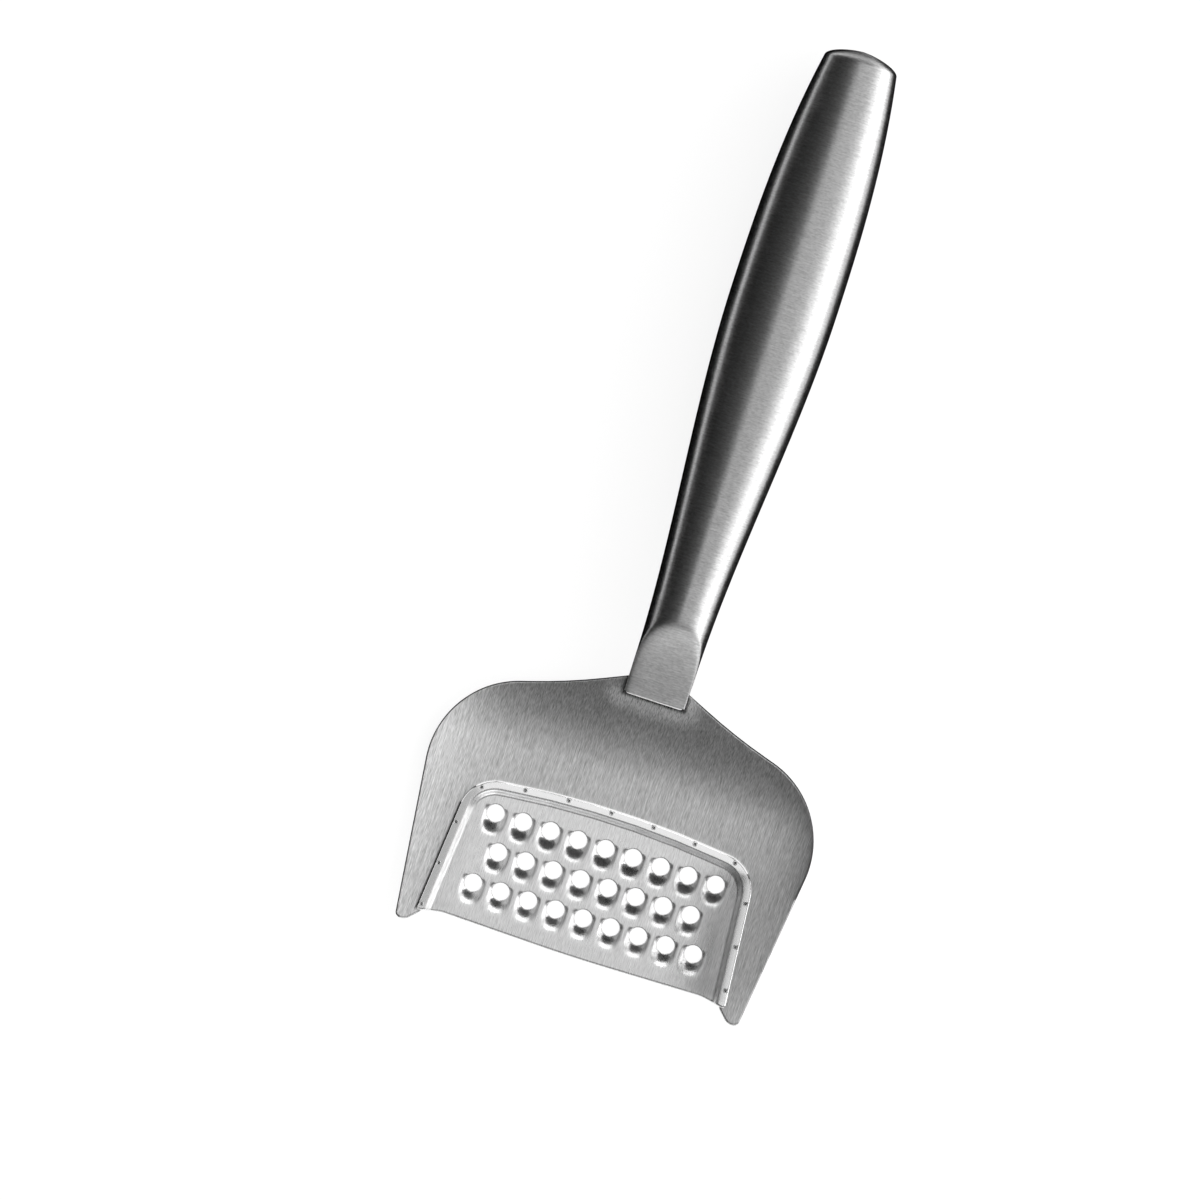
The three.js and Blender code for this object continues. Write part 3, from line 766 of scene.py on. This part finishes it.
def plate_points(outline):
    """Points over the plate: a close grid, rows along the step, and rings round the spot welds."""
    step_start = FLANGE_WIDTH - STEP_LEAD
    step_insets = np.arange(step_start, FLANGE_WIDTH + STEP_RUN + STEP_TRAIL, STEP_ROW_SPACING)
    rows = [spaced_along(tray_path(inset, -REACH), RIM_SPACING, False) for inset in step_insets]
    spots = spot_places()
    radii = SPOT_DIAMETER / 2 + SPOT_POCKET_RUN * np.array(SPOT_RING_SHARES)
    rings = [place + radius * circle(SPOT_RING_SIDES) for place in spots for radius in radii]
    across = np.arange(-PLATE_FRONT_WIDTH / 2, PLATE_FRONT_WIDTH / 2, GRID_SPACING)
    along = np.arange(FLANGE_FRONT_SETBACK, PLATE_REAR_SETBACK, GRID_SPACING)
    grid = grid_points(across, along)
    inset = distance_to(grid, tray_path(0, -REACH))
    on_step = (inset > step_insets[0] - STEP_MARGIN) & (inset < step_insets[-1] + STEP_MARGIN)
    grid = grid[~on_step]
    for place in spots:
        grid = grid[np.linalg.norm(grid - place, axis=1) > radii[-1] + SPOT_MARGIN]
    found = np.concatenate(rows + rings + [grid])
    hole_clear = HOLE_DIAMETER / 2 + HOLE_EDGE + HOLE_MARGIN
    for place in hole_places():
        found = found[np.linalg.norm(found - place, axis=1) > hole_clear]
    return well_inside(found, outline, PLATE_EDGE + PLATE_MARGIN)


def flange_polish(spots):
    """Polish of the flange's upper face, which the press leaves smooth."""
    inset = distance_to(spots[:, :2], tray_path(0, -REACH))
    return 1 - smooth_rise((inset - FLANGE_WIDTH + POLISH_FADE_START) / POLISH_FADE_RUN)


def make_plate(material):
    outline = spaced_along(plate_outline(), RIM_SPACING)
    holes = [place + HOLE_DIAMETER / 2 * circle(HOLE_SIDES) for place in hole_places()]
    inside = plate_points(outline)
    edges = (PLATE_EDGE, PLATE_UNDER_EDGE)
    points, faces = sheet_mesh(outline, holes, inside, plate_level, PLATE_THICKNESS, edges, HOLE_EDGE)
    finishes = {"polish": flange_polish}
    grain = flat_grain(points)
    piece("grating_sheet", points, faces, grain, material, ["grating_plate"], finishes)


# Spot welds

def dark_middle_at(place):
    """Rule for the darker middle of the nugget's dish at a place."""
    def darken(spots):
        away = np.linalg.norm(spots[:, :2] - place, axis=1)
        return SPOT_DARKENING * (1 - smooth_rise(2 * away / (SPOT_DISH_DIAMETER / 2) - 1))

    return darken


def make_spot_welds(material):
    """Nuggets in the flange, each nearly flush with it and dished by the welding tip."""
    dish = SPOT_DISH_DIAMETER / 2
    rim = SPOT_DIAMETER / 2 + NUGGET_RIM_SHARE * SPOT_POCKET_RUN
    dish_radii = dish * np.linspace(NUGGET_CORE_SHARE, 1, NUGGET_RINGS)
    radii = np.concatenate([dish_radii, [rim - NUGGET_EDGE, rim, rim]])
    levels = -SPOT_DISH_DEPTH * (1 - smooth_rise(radii / dish)) - NUGGET_SINK
    levels[-2] -= NUGGET_EDGE_DROP
    levels[-1] = -SPOT_POCKET - PLATE_THICKNESS / 2
    for i, place in enumerate(spot_places()):
        rings = []
        for radius, level in zip(radii, levels):
            ring = place + radius * circle(NUGGET_SIDES)
            rings.append(np.column_stack([ring, np.full(NUGGET_SIDES, FLANGE_LEVEL + level)]))
        points = np.concatenate(rings)
        faces = capped_tube(NUGGET_SIDES, len(rings))
        node = f"spot_weld_{i + 1:02d}"
        grain = flat_grain(points)
        finishes = {"darkening": dark_middle_at(place)}
        piece(f"{node}_nugget", points, faces, grain, material, [node], finishes)


# Neck and handle

def neck_knee():
    """Where the axis starts to turn level, and where it has done so."""
    start = BEND_SETBACK + BEND_RADIUS * math.sin(BEND_ANGLE)
    rise = AXIS_LEVEL - sheet_level(start, NECK_AXIS_ABOVE)
    corner = start + rise / math.tan(BEND_ANGLE)
    tangent = KNEE_RADIUS * math.tan(BEND_ANGLE / 2)
    return corner - tangent * math.cos(BEND_ANGLE), corner + tangent


KNEE_START, KNEE_END = neck_knee()
SEAM_SETBACK = KNEE_END + SEAM_MARGIN


def axis_level(y):
    if y <= KNEE_START:
        return float(sheet_level(y, NECK_AXIS_ABOVE))
    short = max(KNEE_END - y, 0)
    return AXIS_LEVEL - KNEE_RADIUS + math.sqrt(KNEE_RADIUS ** 2 - short ** 2)


def swell(y, neck, belly, end):
    """A size of the section along the handle, from its values at the neck, the belly and the end."""
    if y < BELLY_SETBACK:
        share = smooth_rise((y - SWELL_SETBACK) / (BELLY_SETBACK - SWELL_SETBACK))
        return neck + (belly - neck) * share
    along = (y - BELLY_SETBACK) / (TOOL_LENGTH - BELLY_SETBACK)
    return belly + (end - belly) * min(along, 1) ** END_CURVE


def end_cap(y):
    """Share of its full size that the section keeps on the rounded end."""
    along = min(max((y - TOOL_LENGTH) / END_CAP_DEPTH + 1, 0), 1)
    return (1 - along ** 2) ** END_CAP_CURVE


def half_sizes(y, inset):
    """Half width and half height of the oval section at a station, moved inward by an inset."""
    cap = end_cap(y + inset)
    half_width = swell(y, NECK_WIDTH, BELLY_WIDTH, END_WIDTH) / 2 - inset
    half_height = swell(y, NECK_HEIGHT, BELLY_HEIGHT, END_HEIGHT) / 2 - inset
    return half_width * cap, half_height * cap


def grip_stations(start, inset, steps, cap_steps):
    """Stations from a start to the handle's end, closer together on the rounded end."""
    cap_start = TOOL_LENGTH - inset - END_CAP_DEPTH
    straight = np.linspace(start, cap_start, steps, endpoint=False)
    turns = np.linspace(0, CAP_END_TURN, cap_steps)
    support = [start + RIM_SUPPORT]
    return np.sort(np.concatenate([straight, support, cap_start + END_CAP_DEPTH * np.sin(turns)]))


def half_rings(stations, angles, inset):
    rings = []
    for y in stations:
        half_width, half_height = half_sizes(y, inset)
        x = half_width * np.cos(angles)
        z = axis_level(y) + half_height * np.sin(angles)
        rings.append(np.column_stack([x, np.full(len(angles), y), z]))
    return np.concatenate(rings)


def make_shell(name, node, first_angle, material):
    """Half of the hollow grip, with its wall, from one seam round to the other."""
    bulk = np.linspace(0, math.pi, SHELL_POINTS)
    close = [SHELL_EDGE_TURN, math.pi - SHELL_EDGE_TURN]
    angles = first_angle + np.sort(np.concatenate([bulk, close]))
    outer = grip_stations(SEAM_SETBACK, 0, OUTER_STATIONS, OUTER_CAP_STATIONS)
    inner = grip_stations(SEAM_SETBACK, HANDLE_WALL, INNER_STATIONS, INNER_CAP_STATIONS)
    outside = half_rings(outer, angles, 0)
    inside = half_rings(inner, angles, HANDLE_WALL)
    count = len(angles)
    points = np.concatenate([outside, inside])
    base = len(outside)
    faces = strips(0, count, len(outer), False)
    faces += [face[::-1] for face in strips(base, count, len(inner), False)]
    faces += [(i, base + i, base + i + 1, i + 1) for i in range(count - 1)]
    last_outer = base - count
    last_inner = len(points) - count
    faces.append(tuple(range(last_outer, base)))
    faces.append(tuple(range(last_inner, len(points)))[::-1])
    for side in (0, count - 1):
        outer_edge = [row * count + side for row in range(len(outer))]
        inner_edge = [base + row * count + side for row in range(len(inner))]
        faces.append(tuple(outer_edge + inner_edge[::-1]))
    piece(name, points, faces, ring_grain(points, count), material, [node])


def facet_level(y):
    """Height of the tang's upper face: level with the blade at its end, ground in an arc up to the crown."""
    run = FACET_SETBACK - TANG_SETBACK
    crown = axis_level(FACET_SETBACK) + half_sizes(FACET_SETBACK, 0)[1]
    rise = crown - float(sheet_level(FACET_SETBACK, SEAT_LEVEL + TANG_END_THICKNESS))
    radius = (run ** 2 + rise ** 2) / (2 * rise)
    along = y - TANG_SETBACK
    if along > FACET_ARC_END * radius:
        return REACH
    hollow = radius - math.sqrt(radius ** 2 - along ** 2)
    return float(sheet_level(y, SEAT_LEVEL + TANG_END_THICKNESS)) + hollow


def under_level(y, past_shoulder):
    """Height of the neck's underside: seated on the blade, flush with the tab, then scooped down."""
    if not past_shoulder:
        return float(sheet_level(y, SEAT_LEVEL))
    share = (y - TAB_SETBACK - TAB_GAP) / UNDER_SCOOP_LENGTH
    if share >= 1:
        return -REACH
    return float(sheet_level(y, 0)) - UNDER_SCOOP_DEPTH * (1 - math.cos(math.pi * share)) / 2


def neck_ring(y, inset, past_shoulder, even):
    """Section of the neck: the oval, cut off above and below, with slightly rounded edges."""
    axis = axis_level(y)
    seat = float(sheet_level(y, SEAT_LEVEL))
    facet = facet_level(y)
    middle = min(axis, (seat + facet) / 2)
    half_width, half_height = half_sizes(y, inset)
    end = min(y - TANG_SETBACK, TANG_CORNER_RADIUS)
    corner = TANG_CORNER_RADIUS - math.sqrt(TANG_CORNER_RADIUS ** 2 - (TANG_CORNER_RADIUS - end) ** 2)
    side = NECK_WIDTH / 2 - inset - corner if end < TANG_CORNER_RADIUS else REACH
    tall = min((facet - seat) / NECK_WIDTH, 1)
    spread = np.arctan2(tall * np.sin(even), np.cos(even))
    cosine = np.cos(spread)
    sine = np.sin(spread)
    low = (middle - axis) / half_height
    square = (cosine / half_width) ** 2 + (sine / half_height) ** 2
    half_slope = low * sine / half_height
    oval = (np.sqrt(half_slope ** 2 + square * (1 - low ** 2)) - half_slope) / square
    inverse = [
        1 / oval,
        np.maximum(sine, 0) / (facet - inset - middle),
        np.maximum(-sine, 0) / (middle - under_level(y, past_shoulder) - inset),
        np.abs(cosine) / side,
    ]
    softness = smooth_rise(1 + (y - FACET_SETBACK) / APEX_RUN)
    power = NECK_EDGE_POWER + (APEX_EDGE_POWER - NECK_EDGE_POWER) * softness
    reach = sum(value ** power for value in inverse) ** (-1 / power)
    return np.column_stack([reach * cosine, np.full(len(even), y), middle + reach * sine])


def make_bolster(material):
    even = np.linspace(0, 2 * math.pi, NECK_SIDES, endpoint=False)
    chamfer_end = TANG_SETBACK + TANG_END_CHAMFER
    corner_end = TANG_SETBACK + TANG_CORNER_RADIUS
    shoulder = TAB_SETBACK + TAB_GAP
    sections = []
    for turn in np.linspace(0, math.pi / 2, ROUNDING_POINTS):
        y = TANG_SETBACK + TANG_END_CHAMFER * (1 - math.cos(turn))
        sections.append(neck_ring(y, TANG_END_CHAMFER * (1 - math.sin(turn)), False, even))
    near = np.linspace(chamfer_end, corner_end, TANG_CORNER_SECTIONS)[1:]
    front = np.linspace(corner_end, shoulder, TANG_SECTIONS)[1:]
    back = np.linspace(shoulder, SEAM_SETBACK, NECK_SECTIONS)
    back = np.sort(np.append(back, SEAM_SETBACK - RIM_SUPPORT))
    sections += [neck_ring(y, 0, False, even) for y in np.concatenate([near, front])]
    sections += [neck_ring(y, 0, True, even) for y in back]
    hidden = HANDLE_WALL + SPIGOT_GAP
    sections += [neck_ring(y, hidden, True, even) for y in (SEAM_SETBACK, SEAM_SETBACK + SPIGOT_LENGTH)]
    points = np.concatenate(sections)
    faces = capped_tube(NECK_SIDES, len(sections))
    grain = ring_grain(points, NECK_SIDES)
    piece("neck_bolster_skin", points, faces, grain, material, ["neck_bolster"])


# Materials

def add_node(tree, kind, inputs=None, settings=None):
    """The outputs of a new shader node. Each input is set to a value or linked to another's result."""
    made = tree.nodes.new("ShaderNode" + kind)
    for name, value in (settings or {}).items():
        setattr(made, name, value)
    for key, value in (inputs or {}).items():
        if isinstance(value, bpy.types.NodeSocket):
            tree.links.new(value, made.inputs[key])
        else:
            made.inputs[key].default_value = value
    return made.outputs


def result_of(tree, operation, first, second):
    """What an operation makes of two values, each a number or another node's result."""
    return add_node(tree, "Math", {0: first, 1: second}, {"operation": operation})["Value"]


def total(tree, first, second):
    return result_of(tree, "ADD", first, second)


def scaled(tree, value, factor):
    return result_of(tree, "MULTIPLY", value, factor)


def streaks(tree, sizes, detail):
    """Noise drawn out into streaks. Sizes are the lengths of a streak along x, y and z."""
    place = add_node(tree, "TexCoord")["Object"]
    scale = tuple(1 / (size * MM) for size in sizes)
    stretched = add_node(tree, "Mapping", {"Vector": place, "Scale": scale})
    inputs = {
        "Vector": stretched["Vector"],
        "Scale": 1.0,
        "Detail": detail,
        "Roughness": NOISE_ROUGHNESS,
    }
    return add_node(tree, "TexNoise", inputs)["Fac"]


def around(tree, value, middle, spread):
    """A noise value spread to both sides of a middle."""
    inputs = {
        "Value": value,
        "From Min": NOISE_LOW,
        "From Max": NOISE_HIGH,
        "To Min": middle - spread,
        "To Max": middle + spread,
    }
    return add_node(tree, "MapRange", inputs)["Result"]


def grey_of(tree, value):
    inputs = {"Red": value, "Green": value, "Blue": value}
    return add_node(tree, "CombineColor", inputs)["Color"]


def attribute(tree, name):
    return add_node(tree, "Attribute", settings={"attribute_name": name})["Fac"]


def brushed_steel(name, shade, contrast, roughness, long_grain, short_grain, anisotropy, bump):
    """Brushed steel: long and short streaks in its shade, gloss and relief, and faint cloudy wear. Where a
    mesh is polished its gloss is higher, and where its darkening is set its shade is darker, or lighter
    where that is below 0: on the blade that is painted shade and a painted light halo at the tang's foot."""
    material = bpy.data.materials.new(name)
    material.use_nodes = True
    tree = material.node_tree
    shader = tree.nodes["Principled BSDF"]
    long = streaks(tree, long_grain, LONG_DETAIL)
    short = streaks(tree, short_grain, SHORT_DETAIL)
    cloud = streaks(tree, 3 * (CLOUD_SIZE,), CLOUD_DETAIL)
    polish = attribute(tree, "polish")
    rough_share = total(tree, scaled(tree, polish, -1.0), 1.0)
    lines = total(tree, around(tree, long, 0, contrast), around(tree, short, 0, contrast))
    tone = total(tree, scaled(tree, lines, rough_share), around(tree, cloud, shade, CLOUD_SHADE))
    # Painted shade: the darkening makes the tone darker where it is above 0, and lighter, as a painted halo,
    # where below 0.
    tone = total(tree, tone, scaled(tree, attribute(tree, "darkening"), -DARKENING_SHADE * shade))
    tone = total(tree, tone, scaled(tree, polish, -POLISHED_SHADE * shade))
    shine = scaled(tree, around(tree, long, 0, STREAK_GLOSS), rough_share)
    gloss = total(tree, shine, around(tree, cloud, roughness, CLOUD_GLOSS))
    gloss = total(tree, gloss, scaled(tree, polish, POLISHED_ROUGHNESS - roughness))
    inputs = {
        "Strength": scaled(tree, rough_share, bump),
        "Distance": STREAK_DEPTH * MM,
        "Height": total(tree, long, short),
    }
    relief = add_node(tree, "Bump", inputs)
    tangent = add_node(tree, "Tangent", settings={"direction_type": "UV_MAP", "uv_map": "grain"})
    tree.links.new(grey_of(tree, tone), shader.inputs["Base Color"])
    tree.links.new(gloss, shader.inputs["Roughness"])
    tree.links.new(relief["Normal"], shader.inputs["Normal"])
    tree.links.new(tangent["Tangent"], shader.inputs["Tangent"])
    shader.inputs["Metallic"].default_value = 1.0
    shader.inputs["Anisotropic"].default_value = anisotropy
    return material


def blade_steel():
    return brushed_steel(
        "blade_steel", shade=0.585, contrast=0.14, roughness=0.38, anisotropy=0.85, bump=0.25,
        long_grain=(0.2, 16, 0.2), short_grain=(0.2, 2.2, 0.2),
    )


def plate_steel():
    return brushed_steel(
        "plate_steel", shade=0.78, contrast=0.11, roughness=0.30, anisotropy=0.6, bump=0.2,
        long_grain=(0.2, 16, 0.2), short_grain=(0.2, 2.2, 0.2),
    )


def handle_steel():
    return brushed_steel(
        "handle_steel", shade=0.64, contrast=0.08, roughness=0.36, anisotropy=0.75, bump=0.5,
        long_grain=(4, 0.35, 4), short_grain=(0.9, 0.4, 0.9),
    )


def weld_steel():
    return brushed_steel(
        "weld_steel", shade=0.74, contrast=0.05, roughness=0.2, anisotropy=0.0, bump=0.2,
        long_grain=(0.5, 0.5, 0.5), short_grain=(0.2, 0.2, 0.2),
    )


# Studio

def grey_ramp(tree, value, stops):
    """Grey levels at places from 0 to 1."""
    result = add_node(tree, "ValToRGB", {"Fac": value})["Color"]
    ramp = result.node.color_ramp
    ramp.interpolation = "EASE"
    while len(ramp.elements) < len(stops):
        ramp.elements.new(0.5)
    for element, (place, level) in zip(ramp.elements, stops):
        element.position = place
        element.color = (level, level, level, 1)
    return result


def make_world():
    """Soft studio surroundings: dark on the left, a grey ceiling, a broad bright screen on the right, and
    bands of more and less light from front to rear."""
    world = bpy.data.worlds.new("studio")
    bpy.context.scene.world = world
    world.use_nodes = True
    tree = world.node_tree
    tree.nodes.clear()
    direction = add_node(tree, "TexCoord")["Generated"]
    split = add_node(tree, "SeparateXYZ", {"Vector": direction})
    turn = result_of(tree, "ARCTAN2", split["X"], split["Z"])
    inputs = {"Value": turn, "From Min": -math.pi / 2, "From Max": math.pi / 2}
    sideways = add_node(tree, "MapRange", inputs)
    lengthwise = add_node(tree, "MapRange", {"Value": split["Y"], "From Min": -1.0})
    sides = grey_ramp(tree, sideways["Result"], WORLD_SIDES)
    ends = grey_ramp(tree, lengthwise["Result"], WORLD_ENDS)
    light = scaled(tree, scaled(tree, sides, ends), WORLD_STRENGTH)
    path = add_node(tree, "LightPath")
    lit = add_node(tree, "Background", {"Color": WHITE, "Strength": light})
    white = add_node(tree, "Background", {"Color": WHITE, "Strength": 1.0})
    mixed = add_node(tree, "MixShader", {0: path["Is Camera Ray"], 1: lit[0], 2: white[0]})
    add_node(tree, "OutputWorld", {"Surface": mixed[0]})


def staged(mesh, material):
    """A mesh as an object of the studio."""
    mesh.materials.append(material)
    made = linked(mesh.name, mesh)
    return made


def card(name, corner, first, second, material):
    """A flat sheet of the studio, given by a corner and the two sides from it."""
    mesh = bpy.data.meshes.new(name)
    corner, first, second = (np.array(value, float) for value in (corner, first, second))
    points = np.array([corner, corner + first, corner + first + second, corner + second])
    mesh.from_pydata((points * MM).tolist(), [], [(0, 1, 2, 3)])
    mesh.uv_layers.new(name="along").data.foreach_set("uv", [0, 0, 1, 0, 1, 1, 0, 1])
    return staged(mesh, material)


def ribbon(name, path, foot, height, material):
    """A narrow upright sheet of the studio along a path, which faces the left of the path's run."""
    mesh = bpy.data.meshes.new(name)
    low = np.column_stack([path, foot])
    count = len(low)
    points = placed(np.vstack([low, low + (0, 0, height)]))
    faces = [(i + 1, i, count + i, count + i + 1) for i in range(count - 1)]
    mesh.from_pydata(points.tolist(), [], faces)
    return staged(mesh, material)


def bare_material(name):
    """A new material without nodes, and its tree."""
    material = bpy.data.materials.new(name)
    material.use_nodes = True
    material.node_tree.nodes.clear()
    return material, material.node_tree


def floor_material():
    """Pale matt floor, which looks white where no shadow falls on it."""
    material, tree = bare_material("pale_floor")
    path = add_node(tree, "LightPath")
    seen = result_of(tree, "MAXIMUM", path["Is Camera Ray"], path["Is Glossy Ray"])
    seen = result_of(tree, "MAXIMUM", seen, path["Is Transmission Ray"])
    share = scaled(tree, seen, FLOOR_GLOW)
    shade = (FLOOR_SHADE, FLOOR_SHADE, FLOOR_SHADE, 1)
    matt = add_node(tree, "BsdfDiffuse", {"Color": shade})
    glow = add_node(tree, "Emission", {"Color": WHITE, "Strength": share})
    both = add_node(tree, "AddShader", {0: matt[0], 1: glow[0]})
    add_node(tree, "OutputMaterial", {"Surface": both[0]})
    return material


def flag_material(name, start, end):
    """A card whose level of light goes from one value to another, seen from one side only."""
    material, tree = bare_material(name)
    place = add_node(tree, "UVMap", settings={"uv_map": "along"})["UV"]
    along = add_node(tree, "SeparateXYZ", {"Vector": place})["Y"]
    level = add_node(tree, "MapRange", {"Value": along, "To Min": start, "To Max": end})
    glow = add_node(tree, "Emission", {"Color": WHITE, "Strength": level["Result"]})
    clear = add_node(tree, "BsdfTransparent")
    behind = add_node(tree, "NewGeometry")["Backfacing"]
    either = add_node(tree, "MixShader", {0: behind, 1: glow[0], 2: clear[0]})
    add_node(tree, "OutputMaterial", {"Surface": either[0]})
    return material


def edge_flag(name, path, values):
    """A narrow flag along a path beside the edge of a sheet."""
    light, _, height = values
    foot = sheet_level(path[:, 1], BLADE_THICKNESS) - FLAG_FOOT
    return ribbon(name, path, foot, FLAG_FOOT + height, flag_material(name, light, light))


def flange_edge(away):
    """The edge of the flange, moved outward."""
    return spaced_along(tray_path(-away, FLANGE_FRONT_SETBACK), RIM_SPACING, False)


def edge_flags():
    """Flags beside the blade's sides and the left and rear edges of the plate's flange."""
    outside = moved_inward(spaced_along(blade_outline(), EDGE_SPACING), -BLADE_FLAG[1])
    right = outside[:np.argmax(outside[:, 0] < NECK_WIDTH / 2 + FLAG_NECK_GAP)]
    left = right[::-1] * (-1, 1)
    yield edge_flag("flag_edge_left", left, BLADE_FLAG)
    right = right[right[:, 1] > BLADE_RIGHT_FLAG_SETBACK]
    yield edge_flag("flag_edge_right", right, BLADE_FLAG)
    side = flange_edge(FLANGE_LEFT_FLAG[1])
    before = side[:, 1] < PLATE_REAR_SETBACK - PLATE_CORNER_RADIUS
    yield edge_flag("flag_flange_left", side[before & (side[:, 0] < 0)], FLANGE_LEFT_FLAG)
    rear = flange_edge(FLANGE_REAR_FLAG[1])
    behind = rear[:, 1] > PLATE_REAR_SETBACK - PLATE_CORNER_RADIUS / 2
    yield edge_flag("flag_flange_rear", rear[behind], FLANGE_REAR_FLAG)


def make_studio():
    """The floor, and dark and light flags round the tool that only the metal's reflections show."""
    corner = (-FLOOR_REACH, -FLOOR_REACH, FLOOR_LEVEL)
    card("floor", corner, (2 * FLOOR_REACH, 0, 0), (0, 2 * FLOOR_REACH, 0), floor_material())
    flags = list(edge_flags())
    for name, (start, end, corner, first, second) in FLAGS.items():
        flags.append(card(name, corner, first, second, flag_material(name, start, end)))
    for flag in flags:
        flag.visible_camera = False
        flag.visible_diffuse = False
        flag.visible_shadow = False
        flag.visible_transmission = False


def make_tang_light():
    """Lamp over the blade that faces up and back, so that it lights the tang's edge but not the blade."""
    data = bpy.data.lights.new("tang_light", "AREA")
    data.shape = "RECTANGLE"
    data.size = TANG_LIGHT_WIDTH * MM
    data.size_y = TANG_LIGHT_DEPTH * MM
    data.energy = POWER_PER_LEVEL * TANG_LIGHT_LEVEL * data.size * data.size_y
    lamp = linked("tang_light", data)
    lamp.location = [value * MM for value in TANG_LIGHT_AT]
    lamp.rotation_euler = (TANG_LIGHT_TILT, 0, 0)
    lamp.visible_camera = False


def make_camera():
    data = bpy.data.cameras.new("camera")
    data.sensor_width = SENSOR_WIDTH
    data.lens = SENSOR_WIDTH * (CAMERA_HEIGHT - VIEW_LEVEL) / VIEW_WIDTH
    data.clip_end = CAMERA_FAR * MM
    camera = linked("camera", data)
    camera.location = (CAMERA_OVER[0] * MM, CAMERA_OVER[1] * MM, CAMERA_HEIGHT * MM)
    camera.rotation_euler = (0, 0, CAMERA_TURN)
    bpy.context.scene.camera = camera


make_blade(blade_steel())
make_plate(plate_steel())
welds = weld_steel()
make_spot_welds(welds)
grip_steel = handle_steel()
make_bolster(grip_steel)
make_shell("handle_upper_skin", "handle_upper_shell", 0, grip_steel)
make_shell("handle_lower_skin", "handle_lower_shell", math.pi, grip_steel)
for node in ("neck_weld_1", "neck_weld_2"):
    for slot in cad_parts[node].material_slots:
        slot.material = welds

make_world()
make_studio()
make_tang_light()
make_camera()
bpy.context.scene.view_settings.view_transform = "Standard"
